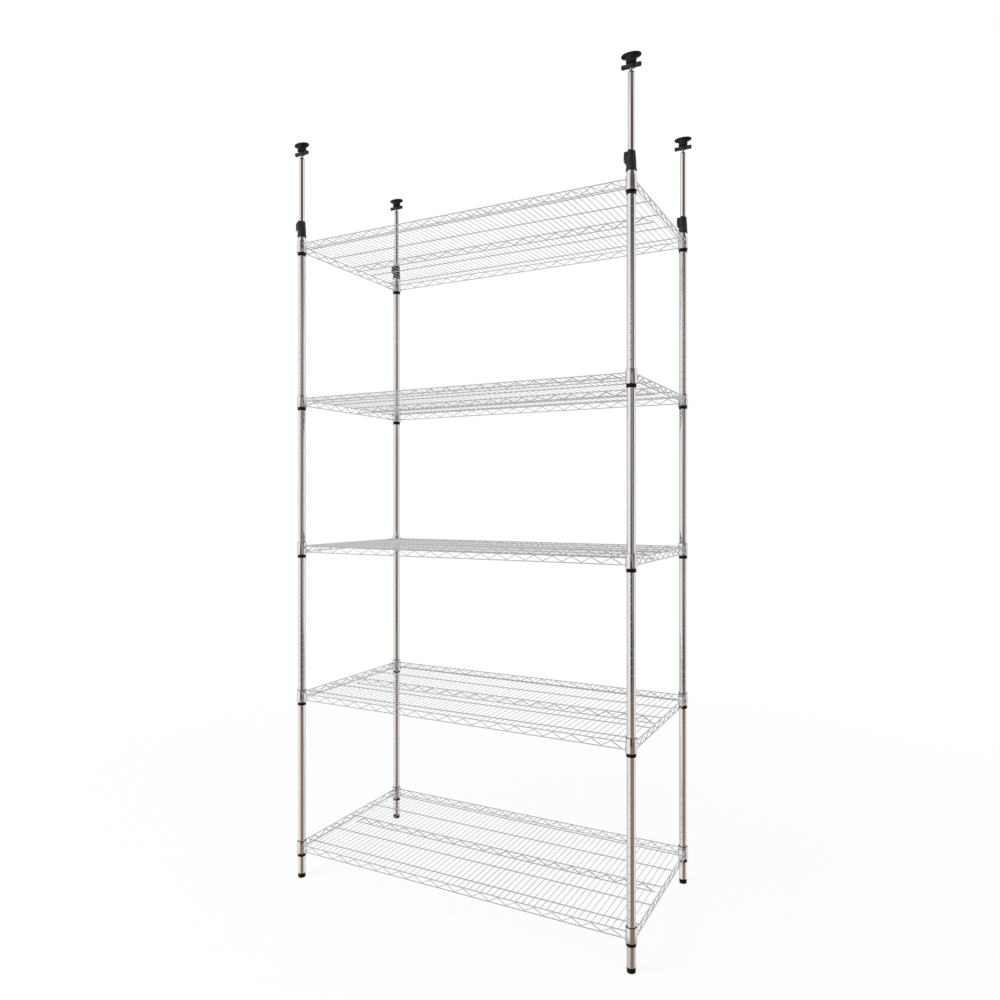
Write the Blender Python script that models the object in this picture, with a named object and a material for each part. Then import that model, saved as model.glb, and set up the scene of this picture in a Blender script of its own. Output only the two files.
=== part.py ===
"""Ceiling-braced wire shelving unit.

Four tubular posts carry five welded wire shelves on tapered sleeves. Every post stands on a
levelling foot, and from its top a thinner pole slides out through a lever clamp. A screw jack on
the pole presses an oval pad against the ceiling.

Units are metres and +Z is up. The origin is on the floor, midway between the four posts; +X runs
to the right along the shelves and +Y to the back.
"""

import math

import bmesh
import bpy
from mathutils import Matrix, Vector

# Fit between neighbouring pieces
CLEARANCE = 0.0003
MERGE_DISTANCE = 0.00001

# Posts
POST_SPACING_X = 1.190
POST_SPACING_Y = 0.570
POST_RADIUS = 0.0125
POST_WALL = 0.0012
POST_TOP = 2.249
POST_SIDES = 10
INSERT_LENGTH = 0.014

# Levelling feet
FOOT_RADIUS = 0.013
FOOT_HEIGHT = 0.015
FOOT_CHAMFER = 0.002
FOOT_STEM_RADIUS = 0.004
FOOT_STEM_LENGTH = 0.030
FOOT_SIDES = 10

# Shelf heights, counted in post grooves above the groove of the bottom shelf
GROOVE_PITCH = 0.025
BOTTOM_SHELF_GROOVE = 0.1001
SHELF_GROOVES = (0, 21, 41.5, 62, 83.5)

# Tapered sleeves and the collars that wedge on them
SLEEVE_BOTTOM_RADIUS = 0.0146
SLEEVE_TOP_RADIUS = 0.0140
SLEEVE_HEIGHT = 0.053
SLEEVE_BELOW_COLLAR = 0.011
COLLAR_BOTTOM_RADIUS = 0.0169
COLLAR_TOP_RADIUS = 0.0155
COLLAR_HEIGHT = 0.0415
COLLAR_SIDES = 8

# Shelf wires: square bars for rails and long wires, three-sided bars for the thin wires
RAIL_WIDTH = 0.0036
RAIL_OUTSIDE_POSTS = 0.010
RAIL_LOWER_HEIGHT = 0.0095
TRUSS_HEIGHT = 0.0207
LONG_WIRE_WIDTH = 0.0030
LONG_WIRE_PITCH = 0.120
DECK_WIRE_RADIUS = 0.0015
DECK_WIRE_PITCH = 0.020
BRACE_RADIUS = 0.0015
BRACE_PITCH = 0.060
WIRE_SIDES = 3
WELD_DEPTH = 0.0015
COLLAR_WELD_DEPTH = 0.006
BUTT_MARGIN = 0.0002

# Sliding poles and their end nuts
POLE_RADIUS = 0.0095
POLE_WALL = 0.001
POLE_REACH = 0.250
POLE_LENGTH = 0.540
POLE_SIDES = 10
NUT_FLANGE_HEIGHT = 0.003
NUT_DEPTH = 0.020
NUT_SIDES = 8

# Clamps on the post tops
CLAMP_LAP = 0.022
CLAMP_HEIGHT = 0.0555
CLAMP_RADIUS = 0.0139
CLAMP_FLARE_RADIUS = 0.0148
CLAMP_FLARE_HEIGHT = 0.012
CLAMP_SHOULDER_HEIGHT = 0.027
CLAMP_TOP_RADIUS = 0.0114
CLAMP_SIDES = 10
CHEEK_ABOVE_POST = 0.001
CHEEK_THICKNESS = 0.0025
CHEEK_REACH = 0.0055
CHEEK_HEIGHT = 0.024

# Clamp levers, hinged on the left of each clamp
LEVER_WIDTH = 0.012
LEVER_THICKNESS = 0.0058
LEVER_LENGTH = 0.0272
LEVER_PIVOT_IN_CHEEK = 0.0045
LEVER_TIP_SLOPE = 0.003
LEVER_TIP_FILL = 0.0025
LEVER_GAP = 0.0006
LEVER_ARC_STEPS = 4

# Screw jacks
SCREW_RADIUS = 0.0043
SCREW_LENGTH = 0.070
SCREW_SIDES = 8
HANDLE_ABOVE_POLE = 0.0146
HANDLE_HEIGHT = 0.0112
HANDLE_LENGTH = 0.059
HANDLE_END_RADIUS = 0.0056
HANDLE_WAIST_RADIUS = 0.0046
HANDLE_BOSS_RADIUS = 0.0092
HANDLE_ARC_STEPS = 4
SPIGOT_LENGTH = 0.008

# Ceiling pads
PAD_LENGTH = 0.058
PAD_WIDTH = 0.036
PAD_RIM_HEIGHT = 0.0065
PAD_EDGE = 0.0018
HUB_TOP_RADIUS = 0.0155
HUB_BOTTOM_RADIUS = 0.0145
HUB_HEIGHT = 0.0194
PAD_SIDES = 12

# Worked-out places
CLAMP_BOTTOM = POST_TOP - CLAMP_LAP
CHEEK_BOTTOM = CLAMP_LAP + CHEEK_ABOVE_POST
LEVER_PIVOT_HEIGHT = CHEEK_BOTTOM + LEVER_PIVOT_IN_CHEEK
POLE_TOP = POST_TOP + POLE_REACH
HANDLE_BOTTOM = POLE_TOP + HANDLE_ABOVE_POLE
PAD_TOP = HANDLE_BOTTOM + HANDLE_HEIGHT + CLEARANCE + HUB_HEIGHT + PAD_RIM_HEIGHT
SIDE_RAIL_DROP = LONG_WIRE_WIDTH + CLEARANCE
RAIL_UPPER_HEIGHT = RAIL_LOWER_HEIGHT + TRUSS_HEIGHT
RAIL_X = POST_SPACING_X / 2 + RAIL_OUTSIDE_POSTS
RAIL_Y = POST_SPACING_Y / 2 + RAIL_OUTSIDE_POSTS
LONG_WIRES_EACH_SIDE = math.floor(POST_SPACING_Y / 2 / LONG_WIRE_PITCH)
DECK_WIRES_EACH_SIDE = math.floor(POST_SPACING_X / 2 / DECK_WIRE_PITCH)
CORNERS = {
    "front_left": (-POST_SPACING_X / 2, -POST_SPACING_Y / 2),
    "front_right": (POST_SPACING_X / 2, -POST_SPACING_Y / 2),
    "back_left": (-POST_SPACING_X / 2, POST_SPACING_Y / 2),
    "back_right": (POST_SPACING_X / 2, POST_SPACING_Y / 2),
}


def clear_scene():
    """Remove every object of the open file."""
    for item in list(bpy.data.objects):
        bpy.data.objects.remove(item, do_unlink=True)


def finish(name, colour, metallic, roughness):
    """Make a Principled BSDF material."""
    material = bpy.data.materials.new(name)
    material.use_nodes = True
    shader = material.node_tree.nodes["Principled BSDF"]
    shader.inputs["Base Color"].default_value = (*colour, 1.0)
    shader.inputs["Metallic"].default_value = metallic
    shader.inputs["Roughness"].default_value = roughness
    return material


def mesh_from(bm, name, material, smooth_angle=35.0):
    """Turn an edited mesh into mesh data with one material, smooth where it is round."""
    bmesh.ops.recalc_face_normals(bm, faces=bm.faces)
    mesh = bpy.data.meshes.new(name)
    bm.to_mesh(mesh)
    bm.free()
    mesh.materials.append(material)
    mesh.shade_smooth()
    mesh.set_sharp_from_angle(angle=math.radians(smooth_angle))
    return mesh


def place(name, mesh, location, parent=None):
    """Put mesh data in the scene as one named piece at a world location."""
    piece = bpy.data.objects.new(name, mesh)
    bpy.context.scene.collection.objects.link(piece)
    piece.location = location
    if parent is not None:
        piece.parent = parent
        piece.matrix_parent_inverse = Matrix.Translation(parent.location).inverted()
    return piece


def across_flats(radius, sides):
    """Corner radius of a polygon whose flats touch a circle of the given radius."""
    return radius / math.cos(math.pi / sides)


def turned(profile, sides, closed):
    """Spin a profile of (radius, height) points about Z, with a flat towards +X."""
    bm = bmesh.new()
    first = Matrix.Rotation(math.pi / sides, 3, "Z")
    verts = [bm.verts.new(first @ Vector((radius, 0.0, height))) for radius, height in profile]
    pairs = list(zip(verts, verts[1:]))
    if closed:
        pairs.append((verts[-1], verts[0]))
    edges = [bm.edges.new(pair) for pair in pairs]
    bmesh.ops.spin(bm, geom=verts + edges, cent=(0, 0, 0), axis=(0, 0, 1), angle=2 * math.pi, steps=sides,
                   use_merge=True)
    bmesh.ops.remove_doubles(bm, verts=bm.verts, dist=MERGE_DISTANCE)
    on_axis = [vert for vert in bm.verts if vert.co.xy.length < MERGE_DISTANCE]
    bmesh.ops.dissolve_verts(bm, verts=on_axis)
    bmesh.ops.recalc_face_normals(bm, faces=bm.faces)
    return bm


def box(bm, low, high):
    """Add a box between two opposite corners."""
    low = Vector(low)
    high = Vector(high)
    size = Matrix.Diagonal((*(high - low), 1.0))
    bmesh.ops.create_cube(bm, size=1.0, matrix=Matrix.Translation((low + high) / 2) @ size)


def prism(bm, outline, bottom, top):
    """Add an outline of (x, y) points as an upright prism."""
    base = [bm.verts.new((x, y, bottom)) for x, y in outline]
    face = bm.faces.new(base)
    grown = bmesh.ops.extrude_face_region(bm, geom=[face])
    moved = [item for item in grown["geom"] if isinstance(item, bmesh.types.BMVert)]
    bmesh.ops.translate(bm, verts=moved, vec=(0.0, 0.0, top - bottom))


def arc(centre, radius, start, end, steps):
    """Points of an arc in the plane, angles in degrees."""
    points = []
    for step in range(steps + 1):
        angle = math.radians(start + (end - start) * step / steps)
        points.append((centre[0] + radius * math.cos(angle), centre[1] + radius * math.sin(angle)))
    return points


def bent_wire(bm, points, normal, radius):
    """Add a three-sided wire that follows a flat path, mitred at its bends."""
    rings = []
    for index, point in enumerate(points):
        legs = []
        if index > 0:
            legs.append((point - points[index - 1]).normalized())
        if index < len(points) - 1:
            legs.append((points[index + 1] - point).normalized())
        along = sum(legs, Vector()).normalized()
        mitre = normal.cross(along) / along.dot(legs[0])
        ring = []
        for corner in range(WIRE_SIDES):
            angle = 2 * math.pi * corner / WIRE_SIDES
            offset = normal * math.cos(angle) + mitre * math.sin(angle)
            ring.append(bm.verts.new(point + radius * offset))
        rings.append(ring)
    for ring, following in zip(rings, rings[1:]):
        for corner in range(WIRE_SIDES):
            beside = (corner + 1) % WIRE_SIDES
            bm.faces.new((ring[corner], ring[beside], following[beside], following[corner]))
    bm.faces.new(rings[0])
    bm.faces.new(rings[-1])


def boolean(base, tool, operation):
    """Add an exact Boolean to an object; the tool is hidden from the finished model."""
    tool.hide_render = True
    tool.display_type = "WIRE"
    step = base.modifiers.new(operation.lower(), "BOOLEAN")
    step.operation = operation
    step.solver = "EXACT"
    step.object = tool


def settled_mesh(base, tools, name, material):
    """Apply the Booleans of an object, remove its helpers and keep the mesh."""
    graph = bpy.context.evaluated_depsgraph_get()
    mesh = bpy.data.meshes.new_from_object(base.evaluated_get(graph))
    for helper in (base, *tools):
        bpy.data.objects.remove(helper, do_unlink=True)
    bm = bmesh.new()
    bm.from_mesh(mesh)
    bpy.data.meshes.remove(mesh)
    return mesh_from(bm, name, material)


def post_mesh(material):
    """Post tube with the threaded insert that takes the levelling foot, from its lower end up."""
    bore = POST_RADIUS - POST_WALL
    thread = across_flats(FOOT_STEM_RADIUS + CLEARANCE, POST_SIDES)
    top = POST_TOP - FOOT_HEIGHT - CLEARANCE
    profile = [(POST_RADIUS, top), (POST_RADIUS, 0.0), (thread, 0.0), (thread, INSERT_LENGTH),
               (bore, INSERT_LENGTH), (bore, top)]
    return mesh_from(turned(profile, POST_SIDES, True), "post", material)


def foot_mesh(material):
    """Levelling foot: chamfered disc with a screw stem."""
    stem_top = FOOT_HEIGHT + FOOT_STEM_LENGTH
    profile = [(0.0, stem_top), (FOOT_STEM_RADIUS, stem_top), (FOOT_STEM_RADIUS, FOOT_HEIGHT),
               (FOOT_RADIUS, FOOT_HEIGHT), (FOOT_RADIUS, FOOT_CHAMFER), (FOOT_RADIUS - FOOT_CHAMFER, 0.0),
               (0.0, 0.0)]
    return mesh_from(turned(profile, FOOT_SIDES, False), "foot", material)


def sleeve_mesh(material):
    """Tapered sleeve on a post, from its lower end up."""
    bore = across_flats(POST_RADIUS + CLEARANCE, COLLAR_SIDES)
    profile = [(across_flats(SLEEVE_TOP_RADIUS, COLLAR_SIDES), SLEEVE_HEIGHT),
               (across_flats(SLEEVE_BOTTOM_RADIUS, COLLAR_SIDES), 0.0), (bore, 0.0), (bore, SLEEVE_HEIGHT)]
    return mesh_from(turned(profile, COLLAR_SIDES, True), "sleeve", material)


def at_corners(bm):
    """Repeat a collar-sized shape at the four posts and drop the pattern."""
    pattern = bm.verts[:] + bm.edges[:] + bm.faces[:]
    for x, y in CORNERS.values():
        copy = bmesh.ops.duplicate(bm, geom=pattern)
        verts = [item for item in copy["geom"] if isinstance(item, bmesh.types.BMVert)]
        bmesh.ops.translate(bm, verts=verts, vec=(x, y, 0.0))
    bmesh.ops.delete(bm, geom=[item for item in pattern if isinstance(item, bmesh.types.BMVert)])
    return bm


def collar_solids():
    """Four solid collars; their bores are cut after the wires are welded on."""
    bottom = across_flats(COLLAR_BOTTOM_RADIUS, COLLAR_SIDES)
    top = across_flats(COLLAR_TOP_RADIUS, COLLAR_SIDES)
    profile = [(0.0, COLLAR_HEIGHT), (top, COLLAR_HEIGHT), (bottom, 0.0), (0.0, 0.0)]
    return at_corners(turned(profile, COLLAR_SIDES, False))


def collar_bores():
    """Tapered cutters that leave the collars a fit on their sleeves."""
    low = -SLEEVE_BELOW_COLLAR
    high = max(SLEEVE_HEIGHT, SLEEVE_BELOW_COLLAR + COLLAR_HEIGHT) + CLEARANCE - SLEEVE_BELOW_COLLAR
    bottom = across_flats(SLEEVE_BOTTOM_RADIUS + CLEARANCE, COLLAR_SIDES)
    top = across_flats(SLEEVE_TOP_RADIUS + CLEARANCE, COLLAR_SIDES)
    profile = [(0.0, high), (top, high), (bottom, low), (0.0, low)]
    return at_corners(turned(profile, COLLAR_SIDES, False))


def rail_bars():
    """Upper and lower rails of the four edge trusses, ending inside the collars."""
    bm = bmesh.new()
    half = RAIL_WIDTH / 2
    end_x = POST_SPACING_X / 2 - COLLAR_TOP_RADIUS + COLLAR_WELD_DEPTH
    end_y = POST_SPACING_Y / 2 - COLLAR_TOP_RADIUS + COLLAR_WELD_DEPTH
    for height in (RAIL_LOWER_HEIGHT, RAIL_UPPER_HEIGHT):
        for side in (-1, 1):
            y = side * RAIL_Y
            box(bm, (-end_x, y - half, height - half), (end_x, y + half, height + half))
            x = side * RAIL_X
            dropped = height - SIDE_RAIL_DROP
            box(bm, (x - half, -end_y, dropped - half), (x + half, end_y, dropped + half))
    return bm


def long_wires():
    """Heavy wires under the deck, butted between the side rails."""
    bm = bmesh.new()
    half = LONG_WIRE_WIDTH / 2
    end = RAIL_X - RAIL_WIDTH / 2 + WELD_DEPTH
    bottom = RAIL_UPPER_HEIGHT - SIDE_RAIL_DROP - RAIL_WIDTH / 2 + BUTT_MARGIN
    for index in range(-LONG_WIRES_EACH_SIDE, LONG_WIRES_EACH_SIDE + 1):
        y = index * LONG_WIRE_PITCH
        box(bm, (-end, y - half, bottom), (end, y + half, bottom + LONG_WIRE_WIDTH))
    return bm


def deck_wires():
    """Thin wires just over the long wires, welded to the front rail and meeting the back rail."""
    bm = bmesh.new()
    long_top = RAIL_UPPER_HEIGHT - SIDE_RAIL_DROP - RAIL_WIDTH / 2 + BUTT_MARGIN + LONG_WIRE_WIDTH
    height = long_top + CLEARANCE + DECK_WIRE_RADIUS * math.cos(math.pi / WIRE_SIDES)
    rail_face = RAIL_Y - RAIL_WIDTH / 2
    front = -rail_face - WELD_DEPTH
    back = rail_face - CLEARANCE
    lie_down = Matrix.Rotation(math.radians(90), 4, "X")
    for index in range(-DECK_WIRES_EACH_SIDE, DECK_WIRES_EACH_SIDE + 1):
        where = Matrix.Translation((index * DECK_WIRE_PITCH, (front + back) / 2, height))
        bmesh.ops.create_cone(bm, cap_ends=True, segments=WIRE_SIDES, radius1=DECK_WIRE_RADIUS,
                              radius2=DECK_WIRE_RADIUS, depth=back - front, matrix=where @ lie_down)
    return bm


def zigzag(spacing, low, high, weld):
    """Path of a brace between two posts, as (distance, height) points that end in the lower rail."""
    half_pitch = BRACE_PITCH / 2
    legs_each_side = math.floor(spacing / 2 / half_pitch)
    reach = legs_each_side * half_pitch
    points = []
    for index in range(2 * legs_each_side + 1):
        points.append((-reach + index * half_pitch, low if index % 2 == 0 else high))
    points[0] = (-reach, weld)
    points[-1] = (reach, weld)
    return points


def brace_wires():
    """Zigzag wires between the rails of the four edge trusses."""
    bm = bmesh.new()
    slope = math.atan2(TRUSS_HEIGHT - 2 * RAIL_WIDTH, BRACE_PITCH / 2)
    margin = RAIL_WIDTH / 2 + BRACE_RADIUS / math.cos(slope) + CLEARANCE
    low = RAIL_LOWER_HEIGHT + margin
    high = RAIL_UPPER_HEIGHT - margin
    for side in (-1, 1):
        front = zigzag(POST_SPACING_X, low, high, RAIL_LOWER_HEIGHT)
        bent_wire(bm, [Vector((x, side * RAIL_Y, z)) for x, z in front], Vector((0, side, 0)), BRACE_RADIUS)
        flank = zigzag(POST_SPACING_Y, low, high, RAIL_LOWER_HEIGHT)
        dropped = [Vector((side * RAIL_X, y, z - SIDE_RAIL_DROP)) for y, z in flank]
        bent_wire(bm, dropped, Vector((side, 0, 0)), BRACE_RADIUS)
    bmesh.ops.recalc_face_normals(bm, faces=bm.faces)
    return bm


def shelf_mesh(material):
    """One welded wire shelf, measured from the lower ends of its collars."""
    base = place("shelf_collars", mesh_from(collar_solids(), "shelf_collars", material), (0, 0, 0))
    tools = []
    for name, make in (("rails", rail_bars), ("long_wires", long_wires), ("deck", deck_wires),
                       ("braces", brace_wires)):
        tools.append(place(name, mesh_from(make(), name, material), (0, 0, 0)))
        boolean(base, tools[-1], "UNION")
    tools.append(place("bores", mesh_from(collar_bores(), "bores", material), (0, 0, 0)))
    boolean(base, tools[-1], "DIFFERENCE")
    return settled_mesh(base, tools, "shelf", material)


def pole_mesh(material):
    """Sliding pole tube, measured from its lower end."""
    bore = POLE_RADIUS - POLE_WALL
    profile = [(POLE_RADIUS, POLE_LENGTH), (POLE_RADIUS, 0.0), (bore, 0.0), (bore, POLE_LENGTH)]
    return mesh_from(turned(profile, POLE_SIDES, True), "pole", material)


def nut_mesh(material):
    """Flanged nut in the pole's upper end, measured from the pole's upper rim."""
    thread = across_flats(SCREW_RADIUS + CLEARANCE, NUT_SIDES)
    body = (POLE_RADIUS - POLE_WALL) * math.cos(math.pi / POLE_SIDES) - CLEARANCE
    top = CLEARANCE + NUT_FLANGE_HEIGHT
    profile = [(POLE_RADIUS, top), (POLE_RADIUS, CLEARANCE), (body, CLEARANCE), (body, -NUT_DEPTH),
               (thread, -NUT_DEPTH), (thread, top)]
    return mesh_from(turned(profile, NUT_SIDES, True), "nut", material)


def clamp_mesh(material):
    """Clamp body with its two lever cheeks, measured from its lower end."""
    post_bore = across_flats(POST_RADIUS + CLEARANCE, CLAMP_SIDES)
    pole_bore = across_flats(POLE_RADIUS + CLEARANCE, CLAMP_SIDES)
    seat = CLAMP_LAP + CLEARANCE
    shoulder = CLAMP_HEIGHT - CLAMP_SHOULDER_HEIGHT
    profile = [(CLAMP_TOP_RADIUS, CLAMP_HEIGHT), (CLAMP_RADIUS, shoulder), (CLAMP_RADIUS, CLAMP_FLARE_HEIGHT),
               (CLAMP_FLARE_RADIUS, 0.0), (post_bore, 0.0), (post_bore, seat), (pole_bore, seat),
               (pole_bore, CLAMP_HEIGHT)]
    base = place("clamp", mesh_from(turned(profile, CLAMP_SIDES, True), "clamp", material), (0, 0, 0))
    cheeks = bmesh.new()
    inner = LEVER_WIDTH / 2 + CLEARANCE
    outer = inner + CHEEK_THICKNESS
    outline_flat = CLAMP_TOP_RADIUS * math.cos(math.pi / CLAMP_SIDES)
    wall_middle = (outline_flat + pole_bore) / 2
    root = -math.sqrt(wall_middle ** 2 - inner ** 2)
    for side in (-1, 1):
        box(cheeks, (-CLAMP_RADIUS - CHEEK_REACH, min(side * inner, side * outer), CHEEK_BOTTOM),
            (root, max(side * inner, side * outer), CHEEK_BOTTOM + CHEEK_HEIGHT))
    tool = place("cheeks", mesh_from(cheeks, "cheeks", material), (0, 0, 0))
    boolean(base, tool, "UNION")
    return settled_mesh(base, [tool], "clamp", material)


def lever_mesh(material):
    """Clamp lever, measured from its hinge: a round heel and a blade that leans in along the clamp."""
    half = LEVER_THICKNESS / 2
    heel = arc((0.0, 0.0), half, 180, 360, LEVER_ARC_STEPS)
    outline = heel + [(half + LEVER_TIP_FILL, LEVER_LENGTH), (-half + LEVER_TIP_SLOPE, LEVER_LENGTH),
                      (-half, LEVER_LENGTH - LEVER_TIP_SLOPE)]
    bm = bmesh.new()
    prism(bm, outline, -LEVER_WIDTH / 2, LEVER_WIDTH / 2)
    stand_up = Matrix.Rotation(math.radians(90), 3, "X")
    bmesh.ops.rotate(bm, verts=bm.verts, cent=(0, 0, 0), matrix=stand_up)
    return mesh_from(bm, "lever", material)


def handle_outline():
    """Plan of the jack's handle: a bar with round ends, a waist and a central boss."""
    end = HANDLE_LENGTH / 2 - HANDLE_END_RADIUS
    waist = (end + HANDLE_BOSS_RADIUS) / 2
    right = arc((end, 0.0), HANDLE_END_RADIUS, -90, 90, HANDLE_ARC_STEPS)
    boss = arc((0.0, 0.0), HANDLE_BOSS_RADIUS, 60, 120, 2)
    half = right + [(waist, HANDLE_WAIST_RADIUS)] + boss + [(-waist, HANDLE_WAIST_RADIUS)]
    return half + [(-x, -y) for x, y in half]


def jack_mesh(material):
    """Jack screw with its handle and the spigot that carries the pad, measured from the handle."""
    base_mesh = bmesh.new()
    prism(base_mesh, handle_outline(), 0.0, HANDLE_HEIGHT)
    base = place("jack", mesh_from(base_mesh, "jack", material), (0, 0, 0))
    top = HANDLE_HEIGHT + SPIGOT_LENGTH
    middle = HANDLE_HEIGHT / 2
    tools = []
    for name, low, high in (("screw", -SCREW_LENGTH, middle), ("spigot", middle + CLEARANCE, top)):
        profile = [(0.0, high), (SCREW_RADIUS, high), (SCREW_RADIUS, low), (0.0, low)]
        shaft = mesh_from(turned(profile, SCREW_SIDES, False), name, material)
        tools.append(place(name, shaft, (0, 0, 0)))
        boolean(base, tools[-1], "UNION")
    return settled_mesh(base, tools, "jack", material)


def loft(sections, sides):
    """Close a stack of ovals, each (length, width, height), into one body."""
    bm = bmesh.new()
    rings = []
    for length, width, height in sections:
        angles = [2 * math.pi * (index + 0.5) / sides for index in range(sides)]
        rings.append([bm.verts.new((length / 2 * math.cos(angle), width / 2 * math.sin(angle), height))
                      for angle in angles])
    for ring, following in zip(rings, rings[1:]):
        for index in range(sides):
            beside = (index + 1) % sides
            bm.faces.new((ring[index], ring[beside], following[beside], following[index]))
    bm.faces.new(rings[0])
    bm.faces.new(rings[-1])
    return bm


def pad_mesh(material):
    """Oval ceiling pad that narrows into a round hub with a socket, measured from its top face."""
    hub_low = -PAD_RIM_HEIGHT - HUB_HEIGHT
    socket_top = hub_low + SPIGOT_LENGTH
    socket = 2 * across_flats(SCREW_RADIUS + CLEARANCE, PAD_SIDES)
    sections = [(PAD_LENGTH - 2 * PAD_EDGE, PAD_WIDTH - 2 * PAD_EDGE, 0.0),
                (PAD_LENGTH, PAD_WIDTH, -PAD_EDGE),
                (PAD_LENGTH, PAD_WIDTH, -PAD_RIM_HEIGHT),
                (2 * HUB_TOP_RADIUS, 2 * HUB_TOP_RADIUS, -PAD_RIM_HEIGHT),
                (2 * HUB_BOTTOM_RADIUS, 2 * HUB_BOTTOM_RADIUS, hub_low),
                (socket, socket, hub_low),
                (socket, socket, socket_top)]
    return mesh_from(loft(sections, PAD_SIDES), "pad", material)


def build():
    """Build every piece and set it in its place."""
    clear_scene()
    chrome = finish("chrome", (0.78, 0.77, 0.76), 1.0, 0.12)
    wire_chrome = finish("wire_chrome", (0.80, 0.80, 0.80), 1.0, 0.18)
    steel = finish("screw_steel", (0.45, 0.43, 0.41), 1.0, 0.30)
    plastic = finish("black_plastic", (0.012, 0.012, 0.013), 0.0, 0.45)
    soft_plastic = finish("black_pad", (0.010, 0.010, 0.011), 0.0, 0.60)

    post = post_mesh(chrome)
    foot = foot_mesh(soft_plastic)
    sleeve = sleeve_mesh(plastic)
    shelf = shelf_mesh(wire_chrome)
    pole = pole_mesh(chrome)
    nut = nut_mesh(steel)
    clamp = clamp_mesh(plastic)
    lever = lever_mesh(plastic)
    jack = jack_mesh(plastic)
    pad = pad_mesh(soft_plastic)

    for level, grooves in enumerate(SHELF_GROOVES, start=1):
        sleeve_low = BOTTOM_SHELF_GROOVE + grooves * GROOVE_PITCH - SLEEVE_HEIGHT / 2
        place(f"shelf_{level}", shelf, (0.0, 0.0, sleeve_low + SLEEVE_BELOW_COLLAR))
        for corner, (x, y) in CORNERS.items():
            place(f"sleeve_{level}_{corner}", sleeve, (x, y, sleeve_low))

    hinge_x = CLAMP_RADIUS + LEVER_GAP + LEVER_THICKNESS / 2
    for corner, (x, y) in CORNERS.items():
        place(f"foot_{corner}", foot, (x, y, 0.0))
        place(f"post_{corner}", post, (x, y, FOOT_HEIGHT + CLEARANCE))
        body = place(f"clamp_{corner}", clamp, (x, y, CLAMP_BOTTOM))
        place(f"lever_{corner}", lever, (x - hinge_x, y, CLAMP_BOTTOM + LEVER_PIVOT_HEIGHT), body)
        sliding = place(f"pole_{corner}", pole, (x, y, POLE_TOP - POLE_LENGTH))
        place(f"nut_{corner}", nut, (x, y, POLE_TOP), sliding)
        top = place(f"pad_{corner}", pad, (x, y, PAD_TOP), sliding)
        place(f"jack_{corner}", jack, (x, y, HANDLE_BOTTOM), top)
    bpy.context.view_layer.update()


build()
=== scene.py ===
"""Looks of a ceiling-braced wire shelving unit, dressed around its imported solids.

Every sub-assembly is a class that takes its place from the solids, builds its meshes in metres
with +Z up, and hands them to the frame as named pieces. Wires, grooves and threads come from
Geometry Nodes trees; turned and moulded parts come from edited meshes.
"""

from __future__ import annotations

import logging
import math
from dataclasses import dataclass, field
from enum import Enum
from typing import Any, Iterable, Sequence

import bmesh
import bpy
from mathutils import Matrix, Vector

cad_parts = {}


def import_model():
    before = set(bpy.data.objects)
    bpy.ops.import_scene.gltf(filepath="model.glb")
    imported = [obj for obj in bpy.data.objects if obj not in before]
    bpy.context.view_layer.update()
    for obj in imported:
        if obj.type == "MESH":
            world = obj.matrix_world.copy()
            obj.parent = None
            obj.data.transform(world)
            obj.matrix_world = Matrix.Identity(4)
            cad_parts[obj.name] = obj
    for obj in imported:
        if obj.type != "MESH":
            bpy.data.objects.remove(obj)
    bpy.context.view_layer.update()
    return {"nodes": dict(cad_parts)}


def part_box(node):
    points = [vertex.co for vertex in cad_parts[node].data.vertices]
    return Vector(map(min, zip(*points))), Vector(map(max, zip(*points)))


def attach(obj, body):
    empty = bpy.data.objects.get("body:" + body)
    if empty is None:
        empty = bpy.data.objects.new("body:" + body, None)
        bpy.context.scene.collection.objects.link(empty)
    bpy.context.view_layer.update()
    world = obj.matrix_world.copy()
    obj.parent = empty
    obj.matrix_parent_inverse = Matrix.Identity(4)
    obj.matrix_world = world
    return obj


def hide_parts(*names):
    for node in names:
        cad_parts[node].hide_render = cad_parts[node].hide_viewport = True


log = logging.getLogger("wire_shelving")

Mesh = bpy.types.Mesh
NodeTree = bpy.types.NodeTree
Socket = bpy.types.NodeSocket
Point = tuple[float, float]
Triple = tuple[float, float, float]
Outline = Sequence[tuple[float, ...]]

SMOOTH_ANGLE = math.radians(38.0)
MERGE_DISTANCE = 1e-6
CORNER_SHARE = 0.48
BEVEL_STEPS = 3
BEVEL_PROFILE = 0.5
# Points of the grooved tube's section: in each groove, and at the two ends together.
GROOVE_POINTS = 6.0
END_POINTS = 4.0
MASK_RANGE = (0.3, 0.7)
SIDES = (-1.0, 1.0)
ON_EDGE = Matrix.Rotation(math.pi / 2, 4, "X")
CROSSWISE = Matrix.Rotation(math.pi / 2, 4, "Z")

# Faces round a section.
RIDGE_FACES, THIN_WIRE_FACES, WIRE_FACES, PIN_FACES, ROD_FACES = 4, 8, 12, 16, 20
SPIGOT_FACES, PLUG_FACES, TUBE_FACES, CLAMP_FACES, PAD_FACES = 24, 32, 40, 44, 56


class Edge(float, Enum):
    """Widths of rounded edges, in metres."""

    TRACE = 0.0002
    HAIR = 0.0003
    FINE = 0.0004
    SLIGHT = 0.0005
    SOFT = 0.0006
    EASED = 0.0008
    ROUND = 0.0010
    FULL = 0.0012
    BROAD = 0.0020
    DEEP = 0.0024
    WIDE = 0.0030
    GREAT = 0.0040


class Post(Enum):
    """The four corner posts, by the end of their nodes' names."""

    FRONT_LEFT = "front_left"
    FRONT_RIGHT = "front_right"
    BACK_LEFT = "back_left"
    BACK_RIGHT = "back_right"

    def at(self, height: float) -> Vector:
        """Point on the post's axis at a height above the floor."""
        low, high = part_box(f"post_{self.value}")
        return Vector(((low.x + high.x) / 2, (low.y + high.y) / 2, height))


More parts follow.
